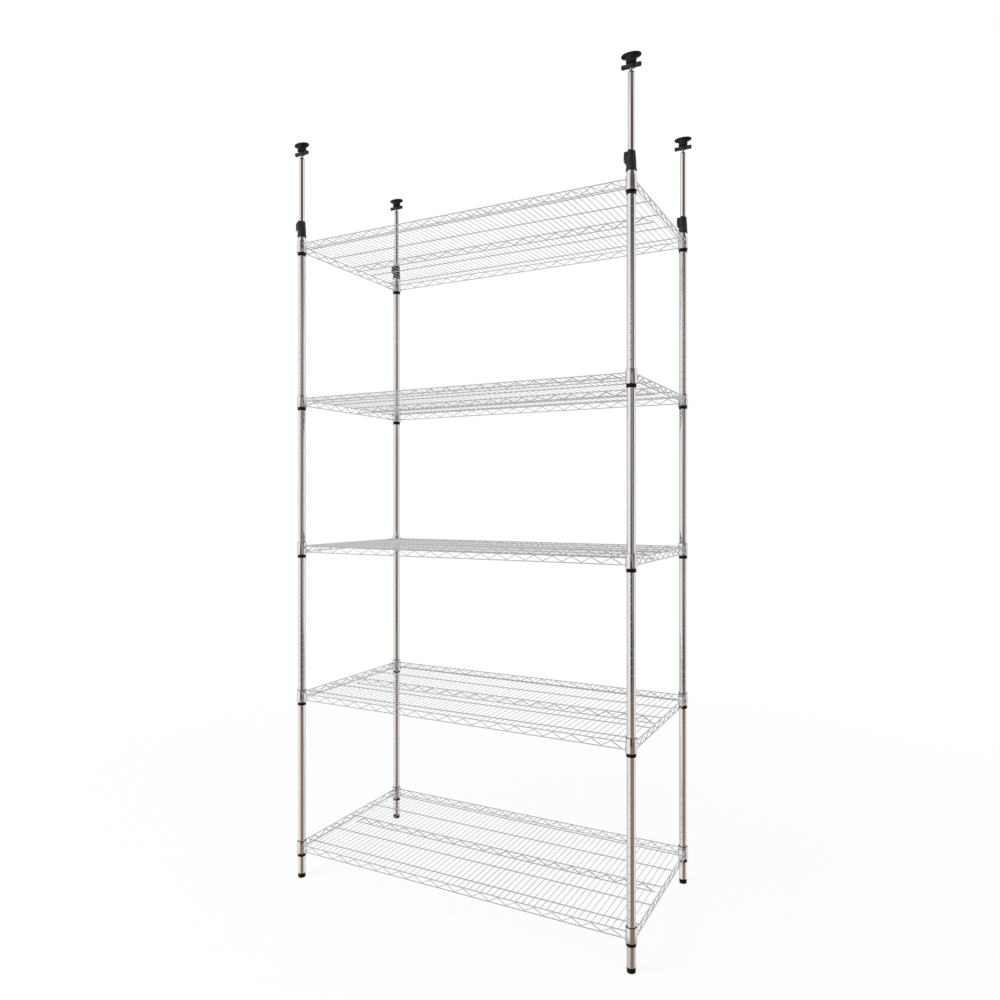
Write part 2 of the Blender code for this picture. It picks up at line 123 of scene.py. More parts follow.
class Slot(Enum):
    """Material slots of the record."""

    CHROME = "chrome"
    WIRE = "wire_chrome"
    STEEL = "dark_steel"
    PLASTIC = "black_plastic"
    PAD = "black_pad"


class SocketKind(Enum):
    """Kinds of named input and output that a node group has."""

    NUMBER = "NodeSocketFloat"
    COUNT = "NodeSocketInt"
    VECTOR = "NodeSocketVector"
    MATERIAL = "NodeSocketMaterial"
    GEOMETRY = "NodeSocketGeometry"


class NodeSketch:
    """A node tree under construction."""

    def __init__(self, tree: NodeTree) -> None:
        """Keep the tree that the nodes go into."""
        self.tree = tree

    def put(self, kind: str, wires: dict[str | int, Any] | None = None,
            **settings: Any) -> bpy.types.Node:
        """Add a node, set its options and feed its inputs.

        Args:
            kind: The node's type name.
            wires: A value or an output socket for each input, by name or number.
            **settings: Options of the node.

        Returns:
            The new node.
        """
        node = self.tree.nodes.new(kind)
        for option, value in settings.items():
            setattr(node, option, value)
        for key, value in (wires or {}).items():
            self.feed(node.inputs[key], value)
        return node

    def feed(self, socket: Socket, value: Any) -> None:
        """Link an output socket into an input, or set the input's own value.

        Args:
            socket: The input.
            value: An output socket or a plain value.
        """
        if isinstance(value, Socket):
            self.tree.links.new(value, socket)
        else:
            socket.default_value = value

    def math(self, operation: str, *values: Any) -> Socket:
        """Add a Math node for numbers or sockets and return its result's socket."""
        return self.put("ShaderNodeMath", dict(enumerate(values)), operation=operation).outputs[0]

    def plus(self, *values: Any) -> Socket:
        """Add two values."""
        return self.math("ADD", *values)

    def minus(self, *values: Any) -> Socket:
        """Subtract the second value from the first."""
        return self.math("SUBTRACT", *values)

    def times(self, *values: Any) -> Socket:
        """Multiply two values."""
        return self.math("MULTIPLY", *values)

    def choose(self, flag: Any, no: Any, yes: Any) -> Socket:
        """Take one number where a flag is 0 and the other where it is 1."""
        return self.put("ShaderNodeMix", {0: flag, 2: no, 3: yes}).outputs[0]

    def mixed(self, share: Any, *colours: Any) -> Socket:
        """Mix two colours.

        Args:
            share: How much of the second colour there is.
            *colours: The two colours, each a value or an output socket.

        Returns:
            The mixed colour's socket.
        """
        pair = [one if isinstance(one, Socket) else (*one, 1.0) for one in colours]
        return self.put("ShaderNodeMix", {0: share, 6: pair[0], 7: pair[1]},
                        data_type="RGBA").outputs[2]

    def mapped(self, value: Any, low: float, high: float) -> Socket:
        """Map a value so that low becomes 0 and high becomes 1."""
        span = {"Value": value, "From Min": low, "From Max": high}
        return self.put("ShaderNodeMapRange", span).outputs[0]


class GroupSketch(NodeSketch):
    """A node group with named inputs and outputs."""

    def __init__(self, name: str, kind: str) -> None:
        """Open an empty group.

        Args:
            name: The group's name.
            kind: Its kind of node tree.
        """
        super().__init__(bpy.data.node_groups.new(name, kind))
        self.entry = self.tree.nodes.new("NodeGroupInput")
        self.exit = self.tree.nodes.new("NodeGroupOutput")

    def ask(self, name: str, kind: SocketKind = SocketKind.NUMBER) -> Socket:
        """Add a named input and return the socket that carries it."""
        self.tree.interface.new_socket(name, in_out="INPUT", socket_type=kind.value)
        return self.entry.outputs[name]

    def give(self, name: str, value: Socket, kind: SocketKind = SocketKind.NUMBER) -> None:
        """Add a named output and feed it."""
        self.tree.interface.new_socket(name, in_out="OUTPUT", socket_type=kind.value)
        self.tree.links.new(value, self.exit.inputs[name])


class GeometrySketch(GroupSketch):
    """A Geometry Nodes tree, which ends in realized geometry with a material."""

    def __init__(self, name: str) -> None:
        """Open a new tree by its name."""
        super().__init__(name, "GeometryNodeTree")

    def traced(self, count: Any, place: Socket) -> Socket:
        """Trace a curve through a number of points.

        Args:
            count: Number of points.
            place: Position of each point, by its index.

        Returns:
            The curve.
        """
        line = self.put("GeometryNodeMeshLine", {"Count": count}).outputs[0]
        bent = self.put("GeometryNodeSetPosition", {"Geometry": line, "Position": place})
        return self.put("GeometryNodeMeshToCurve", {"Mesh": bent.outputs[0]}).outputs[0]

    def swept(self, path: Socket, radius: Any, faces: Any) -> Socket:
        """Sweep a round section along a curve and cap its ends.

        Args:
            path: The curve.
            radius: Radius of the section.
            faces: Number of faces round the section.

        Returns:
            The wire's geometry.
        """
        ring = self.put("GeometryNodeCurvePrimitiveCircle",
                        {"Resolution": faces, "Radius": radius}).outputs["Curve"]
        return self.put("GeometryNodeCurveToMesh",
                        {"Curve": path, "Profile Curve": ring, "Fill Caps": True}).outputs[0]

    def close(self, geometry: Socket) -> NodeTree:
        """End the tree in Realize Instances and Set Material.

        Args:
            geometry: The finished geometry.

        Returns:
            The tree.
        """
        real = self.put("GeometryNodeRealizeInstances", {"Geometry": geometry})
        dressed = self.put("GeometryNodeSetMaterial", {
            "Geometry": real.outputs[0], "Material": self.ask("Material", SocketKind.MATERIAL)})
        self.give("Geometry", dressed.outputs[0], SocketKind.GEOMETRY)
        return self.tree


def wire_row_tree() -> NodeTree:
    """Tree for a row of straight wires.

    Returns:
        The tree.
    """
    sketch = GeometrySketch("wire_row")
    line = sketch.put("GeometryNodeMeshLine", {
        "Count": sketch.ask("Count", SocketKind.COUNT),
        "Start Location": sketch.ask("First", SocketKind.VECTOR),
        "Offset": sketch.ask("Step", SocketKind.VECTOR)}).outputs[0]
    path = sketch.put("GeometryNodeCurvePrimitiveLine",
                      {"End": sketch.ask("Run", SocketKind.VECTOR)}).outputs[0]
    wire = sketch.swept(path, sketch.ask("Radius"), sketch.ask("Faces", SocketKind.COUNT))
    row = sketch.put("GeometryNodeInstanceOnPoints", {"Points": line, "Instance": wire})
    return sketch.close(row.outputs[0])


def zigzag_tree() -> NodeTree:
    """Tree for a wire bent to a zigzag in the XZ plane, centred on the origin.

    Returns:
        The tree.
    """
    sketch = GeometrySketch("zigzag_wire")
    bends = sketch.ask("Bends", SocketKind.COUNT)
    half_pitch, low, high = map(sketch.ask, ("Half Pitch", "Low", "High"))
    index = sketch.put("GeometryNodeInputIndex").outputs[0]
    height = sketch.choose(sketch.math("MODULO", index, 2.0), low, high)
    middle = sketch.times(sketch.minus(bends, 1.0), 0.5)
    along = sketch.times(sketch.minus(index, middle), half_pitch)
    place = sketch.put("ShaderNodeCombineXYZ", {"X": along, "Z": height}).outputs[0]
    rounded = sketch.put("GeometryNodeFilletCurve", {
        "Curve": sketch.traced(bends, place), "Count": sketch.ask("Bend Steps", SocketKind.COUNT),
        "Radius": sketch.ask("Bend Radius"), "Limit Radius": True}, mode="POLY").outputs[0]
    return sketch.close(sketch.swept(rounded, sketch.ask("Radius"),
                                     sketch.ask("Faces", SocketKind.COUNT)))


def grooved_tube_tree() -> NodeTree:
    """Tree for an upright tube with ring grooves, its section swept round the axis.

    The section starts at the tube's lower outer edge, goes up through six points for each groove,
    and closes over the upper end and the bore.

    Returns:
        The tree.
    """
    sketch = GeometrySketch("grooved_tube")
    names = ("Length", "Radius", "Bore", "First Groove", "Pitch", "Groove Width", "Groove Depth")
    length, radius, bore, first, pitch, width, depth = map(sketch.ask, names)
    last = sketch.times(sketch.ask("Grooves", SocketKind.COUNT), GROOVE_POINTS)
    index = sketch.put("GeometryNodeInputIndex").outputs[0]
    past_start = sketch.math("GREATER_THAN", index, 0.5)
    past_grooves, past_edge, past_top = (
        sketch.math("GREATER_THAN", index, sketch.plus(last, beyond)) for beyond in (0.5, 1.5, 2.5))
    step = sketch.minus(index, 1.0)
    groove = sketch.math("FLOOR", sketch.math("DIVIDE", step, GROOVE_POINTS))
    in_groove = sketch.minus(step, sketch.times(groove, GROOVE_POINTS))
    offset = sketch.minus(in_groove, (GROOVE_POINTS - 1.0) / 2)
    sunk = sketch.math("LESS_THAN", sketch.math("ABSOLUTE", offset), 1.0)
    groove_radius = sketch.minus(radius, sketch.times(sunk, depth))
    spread = sketch.times(offset, sketch.math("DIVIDE", width, 3.0))
    groove_height = sketch.plus(sketch.plus(first, sketch.times(groove, pitch)), spread)
    in_grooves = sketch.minus(past_start, past_grooves)
    end_height = sketch.times(length, sketch.minus(past_grooves, past_top))
    end_radius = sketch.choose(past_edge, radius, bore)
    height = sketch.choose(in_grooves, end_height, groove_height)
    reach = sketch.choose(in_grooves, end_radius, groove_radius)
    place = sketch.put("ShaderNodeCombineXYZ", {
        "X": sketch.minus(reach, radius), "Y": sketch.times(height, -1.0)}).outputs[0]
    section = sketch.put("GeometryNodeSetSplineCyclic", {
        "Geometry": sketch.traced(sketch.plus(last, END_POINTS), place), "Cyclic": True}).outputs[0]
    path = sketch.put("GeometryNodeCurvePrimitiveCircle", {
        "Resolution": sketch.ask("Faces", SocketKind.COUNT), "Radius": radius}).outputs["Curve"]
    tube = sketch.put("GeometryNodeCurveToMesh", {"Curve": path, "Profile Curve": section})
    return sketch.close(tube.outputs[0])


def thread_tree() -> NodeTree:
    """Tree for a screw: a core with a helical ridge, upwards from the origin.

    Returns:
        The tree.
    """
    sketch = GeometrySketch("screw_thread")
    length, core, pitch, ridge = map(sketch.ask, ("Length", "Core Radius", "Pitch", "Ridge"))
    helix = sketch.put("GeometryNodeCurveSpiral", {
        "Resolution": sketch.ask("Steps", SocketKind.COUNT), "Height": length,
        "Rotations": sketch.math("DIVIDE", length, pitch), "Start Radius": core,
        "End Radius": core}).outputs[0]
    end = sketch.put("ShaderNodeCombineXYZ", {"Z": length}).outputs[0]
    path = sketch.put("GeometryNodeCurvePrimitiveLine", {"End": end}).outputs[0]
    both = sketch.put("GeometryNodeJoinGeometry")
    for part in (sketch.swept(helix, ridge, RIDGE_FACES), sketch.swept(path, core, ROD_FACES)):
        sketch.feed(both.inputs[0], part)
    return sketch.close(both.outputs[0])


def weld_bead_tree() -> NodeTree:
    """Tree for small round weld beads on the points of a mesh.

    Returns:
        The tree.
    """
    sketch = GeometrySketch("weld_beads")
    points = sketch.ask("Points", SocketKind.GEOMETRY)
    bead = sketch.put("GeometryNodeMeshIcoSphere",
                      {"Radius": sketch.ask("Radius"), "Subdivisions": 2}).outputs[0]
    beads = sketch.put("GeometryNodeInstanceOnPoints", {"Points": points, "Instance": bead})
    return sketch.close(beads.outputs[0])


def grow(tree: NodeTree, values: dict[str, Any], base: Mesh | None = None) -> Mesh:
    """Run a Geometry Nodes tree once and keep the result as a plain mesh.

    Args:
        tree: The tree.
        values: A value for each named input.
        base: Mesh that goes into the tree's geometry input, where it has one.

    Returns:
        The finished mesh.
    """
    carrier = bpy.data.objects.new(tree.name, base or bpy.data.meshes.new(tree.name))
    bpy.context.scene.collection.objects.link(carrier)
    modifier = carrier.modifiers.new(tree.name, "NODES")
    modifier.node_group = tree
    for item in tree.interface.items_tree:
        if item.in_out == "INPUT" and item.name in values:
            modifier[item.identifier] = values[item.name]
    graph = bpy.context.evaluated_depsgraph_get()
    mesh = bpy.data.meshes.new_from_object(carrier.evaluated_get(graph))
    carrier.modifiers.remove(modifier)
    bpy.data.objects.remove(carrier, do_unlink=True)
    return mesh


def as_mesh(bm: bmesh.types.BMesh, name: str, merge: bool = True) -> Mesh:
    """Turn an edited mesh into mesh data with its faces outwards.

    Args:
        bm: The edited mesh, which is freed.
        name: Name of the mesh.
        merge: Whether points in one place become one.

    Returns:
        The mesh.
    """
    if merge:
        bmesh.ops.remove_doubles(bm, verts=bm.verts, dist=MERGE_DISTANCE)
    bmesh.ops.recalc_face_normals(bm, faces=bm.faces)
    mesh = bpy.data.meshes.new(name)
    bm.to_mesh(mesh)
    bm.free()
    return mesh


def joined(parts: Iterable[Mesh], name: str) -> Mesh:
    """Put several meshes into one, each of them closed and outwards.

    Args:
        parts: The meshes.
        name: Name of the new mesh.

    Returns:
        The joined mesh.
    """
    bm = bmesh.new()
    for part in parts:
        bm.from_mesh(part)
    for face in bm.faces:
        face.material_index = 0
    return as_mesh(bm, name, merge=False)


def moved(mesh: Mesh, where: Vector | Matrix) -> Mesh:
    """Copy a mesh to another place.

    Args:
        mesh: The mesh, which stays.
        where: A shift or a full transform.

    Returns:
        The copy.
    """
    copy = mesh.copy()
    copy.transform(Matrix.Translation(where) if isinstance(where, Vector) else where)
    return copy


def softened(outline: Outline, steps: int = 4, closed: bool = True) -> list[Point]:
    """Round the corners of an outline.

    Args:
        outline: Corners as (x, y, width of the rounding), or as (x, y) where one is sharp.
        steps: Segments of each rounded corner.
        closed: Whether the last corner joins the first.

    Returns:
        The points of the rounded outline.
    """
    points: list[Point] = []
    count = len(outline)
    for index, (x, y, *rounding) in enumerate(outline):
        is_end = not closed and index in (0, count - 1)
        if not rounding or is_end:
            points.append((x, y))
            continue
        corner = Vector((x, y))
        before = Vector(outline[index - 1][:2]) - corner
        after = Vector(outline[(index + 1) % count][:2]) - corner
        cut = min(rounding[0], CORNER_SHARE * before.length, CORNER_SHARE * after.length)
        start = corner + before.normalized() * cut
        end = corner + after.normalized() * cut
        for step in range(steps + 1):
            share = step / steps
            blend = start.lerp(corner, share).lerp(corner.lerp(end, share), share)
            points.append((blend.x, blend.y))
    return points


def lathe(outline: Outline, faces: int, closed: bool = True, steps: int = 4, start: float = 0.0,
          sweep: float = math.tau) -> Mesh:
    """Turn an outline of (radius, height) corners about Z, with its corners rounded.

    Args:
        outline: The section, as for softened.
        faces: Faces of the turn.
        closed: Whether the section is a loop, as a tube's is; an open one starts and ends on the
            axis.
        steps: Segments of each rounded corner.
        start: Angle where the turn starts.
        sweep: Angle of the turn; a part turn gets flat end faces.

    Returns:
        The turned mesh.
    """
    section = softened(outline, steps, closed)
    count = len(section)
    full = math.isclose(sweep, math.tau)
    bm = bmesh.new()
    rings = []
    for step in range(faces if full else faces + 1):
        angle = start + sweep * step / faces
        across, along = math.cos(angle), math.sin(angle)
        rings.append([bm.verts.new((radius * across, radius * along, height))
                      for radius, height in section])
    following = rings[1:] + rings[:1] if full else rings[1:]
    for ring, beside in zip(rings, following):
        for low in range(count if closed else count - 1):
            high = (low + 1) % count
            bm.faces.new((ring[low], beside[low], beside[high], ring[high]))
    if not full:
        bm.faces.new(rings[0])
        bm.faces.new(reversed(rings[-1]))
    return as_mesh(bm, "turned")


def round_edges(bm: bmesh.types.BMesh, edges: Sequence[bmesh.types.BMEdge], width: float,
                clamp: bool = False) -> None:
    """Round edges of an edited mesh, and less where clamped roundings would meet."""
    bmesh.ops.bevel(bm, geom=edges, offset=width, segments=BEVEL_STEPS, profile=BEVEL_PROFILE,
                    affect="EDGES", clamp_overlap=clamp)


def bevelled_prism(plan: Sequence[Point], low: float, high: float, bevel: float) -> Mesh:
    """Raise a plan into a prism and round its two rims.

    Args:
        plan: The plan's points.
        low: Height of the lower face.
        high: Height of the upper face.
        bevel: Width of the rounding.

    Returns:
        The prism's mesh.
    """
    bm = bmesh.new()
    base = bm.faces.new([bm.verts.new((x, y, low)) for x, y in plan])
    grown = bmesh.ops.extrude_face_region(bm, geom=[base])
    lifted = [item for item in grown["geom"] if isinstance(item, bmesh.types.BMVert)]
    bmesh.ops.translate(bm, verts=lifted, vec=(0.0, 0.0, high - low))
    rims = [edge for edge in bm.edges
            if abs(edge.verts[0].co.z - edge.verts[1].co.z) < MERGE_DISTANCE]
    round_edges(bm, rims, bevel, clamp=True)
    return as_mesh(bm, "prism")


def rounded_block(low: Triple, high: Triple, bevel: float) -> Mesh:
    """A box with rounded edges.

    Args:
        low: Lowest corner.
        high: Highest corner.
        bevel: Width of the rounding.

    Returns:
        The box's mesh.
    """
    bm = bmesh.new()
    middle = (Vector(low) + Vector(high)) / 2
    size = Matrix.Diagonal((*(Vector(high) - Vector(low)), 1.0))
    bmesh.ops.create_cube(bm, size=1.0, matrix=Matrix.Translation(middle) @ size)
    round_edges(bm, bm.edges[:], bevel)
    return as_mesh(bm, "block")


def oval_stack(sections: Sequence[Triple], faces: int) -> Mesh:
    """Close a stack of ovals into one body.

    Args:
        sections: (half length, half width, height) of each oval.
        faces: Faces round each oval.

    Returns:
        The body's mesh.
    """
    bm = bmesh.new()
    angles = [math.tau * step / faces for step in range(faces)]
    rings = [[bm.verts.new((half_length * math.cos(angle), half_width * math.sin(angle), height))
              for angle in angles] for half_length, half_width, height in sections]
    for ring, beside in zip(rings, rings[1:]):
        for step in range(faces):
            other = (step + 1) % faces
            bm.faces.new((ring[step], ring[other], beside[other], beside[step]))
    bm.faces.new(rings[0])
    bm.faces.new(rings[-1])
    return as_mesh(bm, "ovals")


def plating_marks() -> NodeTree:
    """Shader group for plated metal: soft haze and fine polishing streaks.

    Returns:
        The group, with outputs Haze and Streaks.
    """
    sketch = GroupSketch("plating_marks", "ShaderNodeTree")
    vector = sketch.ask("Vector", SocketKind.VECTOR)
    haze = sketch.put("ShaderNodeTexNoise", {
        "Vector": vector, "Scale": sketch.ask("Haze Scale"), "Detail": 5.0, "Roughness": 0.6})
    stretched = sketch.put("ShaderNodeVectorMath", {
        0: vector, 1: sketch.ask("Streak Stretch", SocketKind.VECTOR)}, operation="MULTIPLY")
    streaks = sketch.put("ShaderNodeTexNoise", {
        "Vector": stretched.outputs[0], "Scale": 1.0, "Detail": 3.0})
    sketch.give("Haze", haze.outputs[0])
    sketch.give("Streaks", streaks.outputs[0])
    return sketch.tree


def moulded_grain() -> NodeTree:
    """Shader group for moulded plastic: cloudy sheen and fine spark grain.

    Returns:
        The group, with outputs Cloud and Grain.
    """
    sketch = GroupSketch("moulded_grain", "ShaderNodeTree")
    vector = sketch.ask("Vector", SocketKind.VECTOR)
    cloud = sketch.put("ShaderNodeTexNoise", {
        "Vector": vector, "Scale": sketch.ask("Cloud Scale"), "Detail": 4.0})
    grain = sketch.put("ShaderNodeTexVoronoi", {
        "Vector": vector, "Scale": sketch.ask("Grain Scale"), "Randomness": 1.0},
        feature="SMOOTH_F1")
    sketch.give("Cloud", cloud.outputs[0])
    sketch.give("Grain", grain.outputs["Distance"])
    return sketch.tree


@dataclass(frozen=True)
class Finish:
    """A finish whose colour and roughness follow a soft mask, and whose bump a fine one."""

    name: str
    colour: Triple
    cloud_colour: Triple
    smoothest: float
    roughest: float

    def shaded(self, marks: NodeTree, values: dict[str, Any], strength: float, depth: float,
               constants: dict[str, float]) -> bpy.types.Material:
        """Build a material round a shader group.

        Args:
            marks: The group; its first output is the soft mask and its second the fine one.
            values: Values of the group's own inputs.
            strength: Strength of the bump.
            depth: Depth of the bump.
            constants: Values that are the same all over the surface, by the shader's inputs.

        Returns:
            The material.
        """
        material = bpy.data.materials.new(self.name)
        material.use_nodes = True
        sketch = NodeSketch(material.node_tree)
        place = sketch.put("ShaderNodeTexCoord").outputs["Object"]
        group = sketch.put("ShaderNodeGroup", {"Vector": place, **values}, node_tree=marks)
        soft, fine = group.outputs
        rough = sketch.put("ShaderNodeMapRange", {
            "Value": soft, "From Min": MASK_RANGE[0], "From Max": MASK_RANGE[1],
            "To Min": self.smoothest, "To Max": self.roughest})
        bump = sketch.put("ShaderNodeBump", {
            "Height": fine, "Strength": strength, "Distance": depth})
        inputs = material.node_tree.nodes["Principled BSDF"].inputs
        for label, value in constants.items():
            inputs[label].default_value = value
        sketch.feed(inputs["Base Color"], sketch.mixed(soft, self.colour, self.cloud_colour))
        sketch.feed(inputs["Roughness"], rough.outputs[0])
        sketch.feed(inputs["Normal"], bump.outputs[0])
        return material


@dataclass(frozen=True)
class PlatedMetal(Finish):
    """Chrome plate or bright steel with haze and polishing streaks."""

    streak_stretch: Triple
    haze_scale: float
    streak_depth: float
    streak_strength: float = 0.25

    def material(self, marks: NodeTree) -> bpy.types.Material:
        """Build the finish's material.

        Args:
            marks: The shared shader group of plating marks.

        Returns:
            The material.
        """
        values = {"Streak Stretch": self.streak_stretch, "Haze Scale": self.haze_scale}
        return self.shaded(marks, values, self.streak_strength, self.streak_depth,
                           {"Metallic": 1.0})


@dataclass(frozen=True)
class MouldedBlack(Finish):
    """Black moulded plastic or rubber with a fine grain."""

    specular: float
    grain_scale: float
    grain_depth: float
    grain_strength: float = 0.4
    cloud_scale: float = 60.0

    def material(self, grain: NodeTree) -> bpy.types.Material:
        """Build the finish's material.

        Args:
            grain: The shared shader group of moulded grain.

        Returns:
            The material.
        """
        values = {"Grain Scale": self.grain_scale, "Cloud Scale": self.cloud_scale}
        return self.shaded(grain, values, self.grain_strength, self.grain_depth,
                           {"Specular IOR Level": self.specular})


TUBE_CHROME = PlatedMetal(
    "tube_chrome", (0.83, 0.82, 0.81), (0.74, 0.73, 0.72), smoothest=0.03, roughest=0.08,
    streak_stretch=(260.0, 260.0, 6.0), haze_scale=18.0, streak_depth=0.00001)
WIRE_CHROME = PlatedMetal(
    "wire_chrome", (0.80, 0.80, 0.80), (0.70, 0.70, 0.70), smoothest=0.05, roughest=0.12,
    streak_stretch=(90.0, 90.0, 90.0), haze_scale=40.0, streak_depth=0.00001)
SCREW_STEEL = PlatedMetal(
    "screw_steel", (0.72, 0.71, 0.69), (0.58, 0.57, 0.56), smoothest=0.16, roughest=0.30,
    streak_stretch=(120.0, 120.0, 40.0), haze_scale=90.0, streak_depth=0.00002)
NUT_STEEL = PlatedMetal(
    "nut_steel", (0.20, 0.19, 0.185), (0.12, 0.115, 0.11), smoothest=0.30, roughest=0.45,
    streak_stretch=(120.0, 120.0, 40.0), haze_scale=90.0, streak_depth=0.00002)
CLAMP_BLACK = MouldedBlack(
    "clamp_black", (0.010, 0.010, 0.011), (0.024, 0.024, 0.025), smoothest=0.38, roughest=0.55,
    specular=0.32, grain_scale=2600.0, grain_depth=0.00006)
# Black plastic made darker than the clamps' black, as painted shade under the collars; the sleeves
# and the levelling feet take it.
PAINTED_SHADE_BLACK = MouldedBlack(
    "painted_shade_black", (0.0030, 0.0030, 0.0032), (0.0070, 0.0068, 0.0066), smoothest=0.45,
    roughest=0.60, specular=0.18, grain_scale=2200.0, grain_depth=0.00005)
PAD_BLACK = MouldedBlack(
    "pad_black", (0.006, 0.006, 0.007), (0.014, 0.014, 0.014), smoothest=0.50, roughest=0.70,
    specular=0.22, grain_scale=1900.0, grain_depth=0.00008)

USUAL_FINISH = {Slot.CHROME: TUBE_CHROME, Slot.WIRE: WIRE_CHROME, Slot.STEEL: SCREW_STEEL,
                Slot.PLASTIC: CLAMP_BLACK, Slot.PAD: PAD_BLACK}


def mixed_finishes() -> dict[str, bpy.types.Material]:
    """Make the material of each finish.

    Returns:
        The materials by the names of their finishes.
    """
    marks, grain = plating_marks(), moulded_grain()
    metals = {one.name: one.material(marks)
              for one in (TUBE_CHROME, WIRE_CHROME, SCREW_STEEL, NUT_STEEL)}
    blacks = {one.name: one.material(grain) for one in (CLAMP_BLACK, PAINTED_SHADE_BLACK, PAD_BLACK)}
    return metals | blacks


@dataclass
class Workshop:
    """Node trees and finished materials that the sub-assemblies share."""

    wire_row: NodeTree = field(default_factory=wire_row_tree)
    zigzag: NodeTree = field(default_factory=zigzag_tree)
    grooved_tube: NodeTree = field(default_factory=grooved_tube_tree)
    thread: NodeTree = field(default_factory=thread_tree)
    weld_beads: NodeTree = field(default_factory=weld_bead_tree)
    finishes: dict[str, bpy.types.Material] = field(default_factory=mixed_finishes)

    def hand_over(self, name: str, mesh: Mesh, body: str, slot: Slot, nodes: Sequence[str] = (),
                  finish: Finish | None = None) -> None:
        """Make a piece of a mesh, give it its finish and set it on its body.

        Args:
            name: The piece's name.
            mesh: Its mesh, in place.
            body: The body that it moves with.
            slot: Its material slot.
            nodes: Nodes that it stands for.
            finish: Its finish, where it isn't the slot's usual one.
        """
        mesh.materials.clear()
        mesh.materials.append(self.finishes[(finish or USUAL_FINISH[slot]).name])
        mesh.shade_smooth()
        mesh.set_sharp_from_angle(angle=SMOOTH_ANGLE)
        piece = bpy.data.objects.new(name, mesh)
        bpy.context.scene.collection.objects.link(piece)
        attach(piece, body)
        if nodes:
            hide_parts(*nodes)
        log.info("%s: %d faces on %s", name, len(mesh.polygons), body)


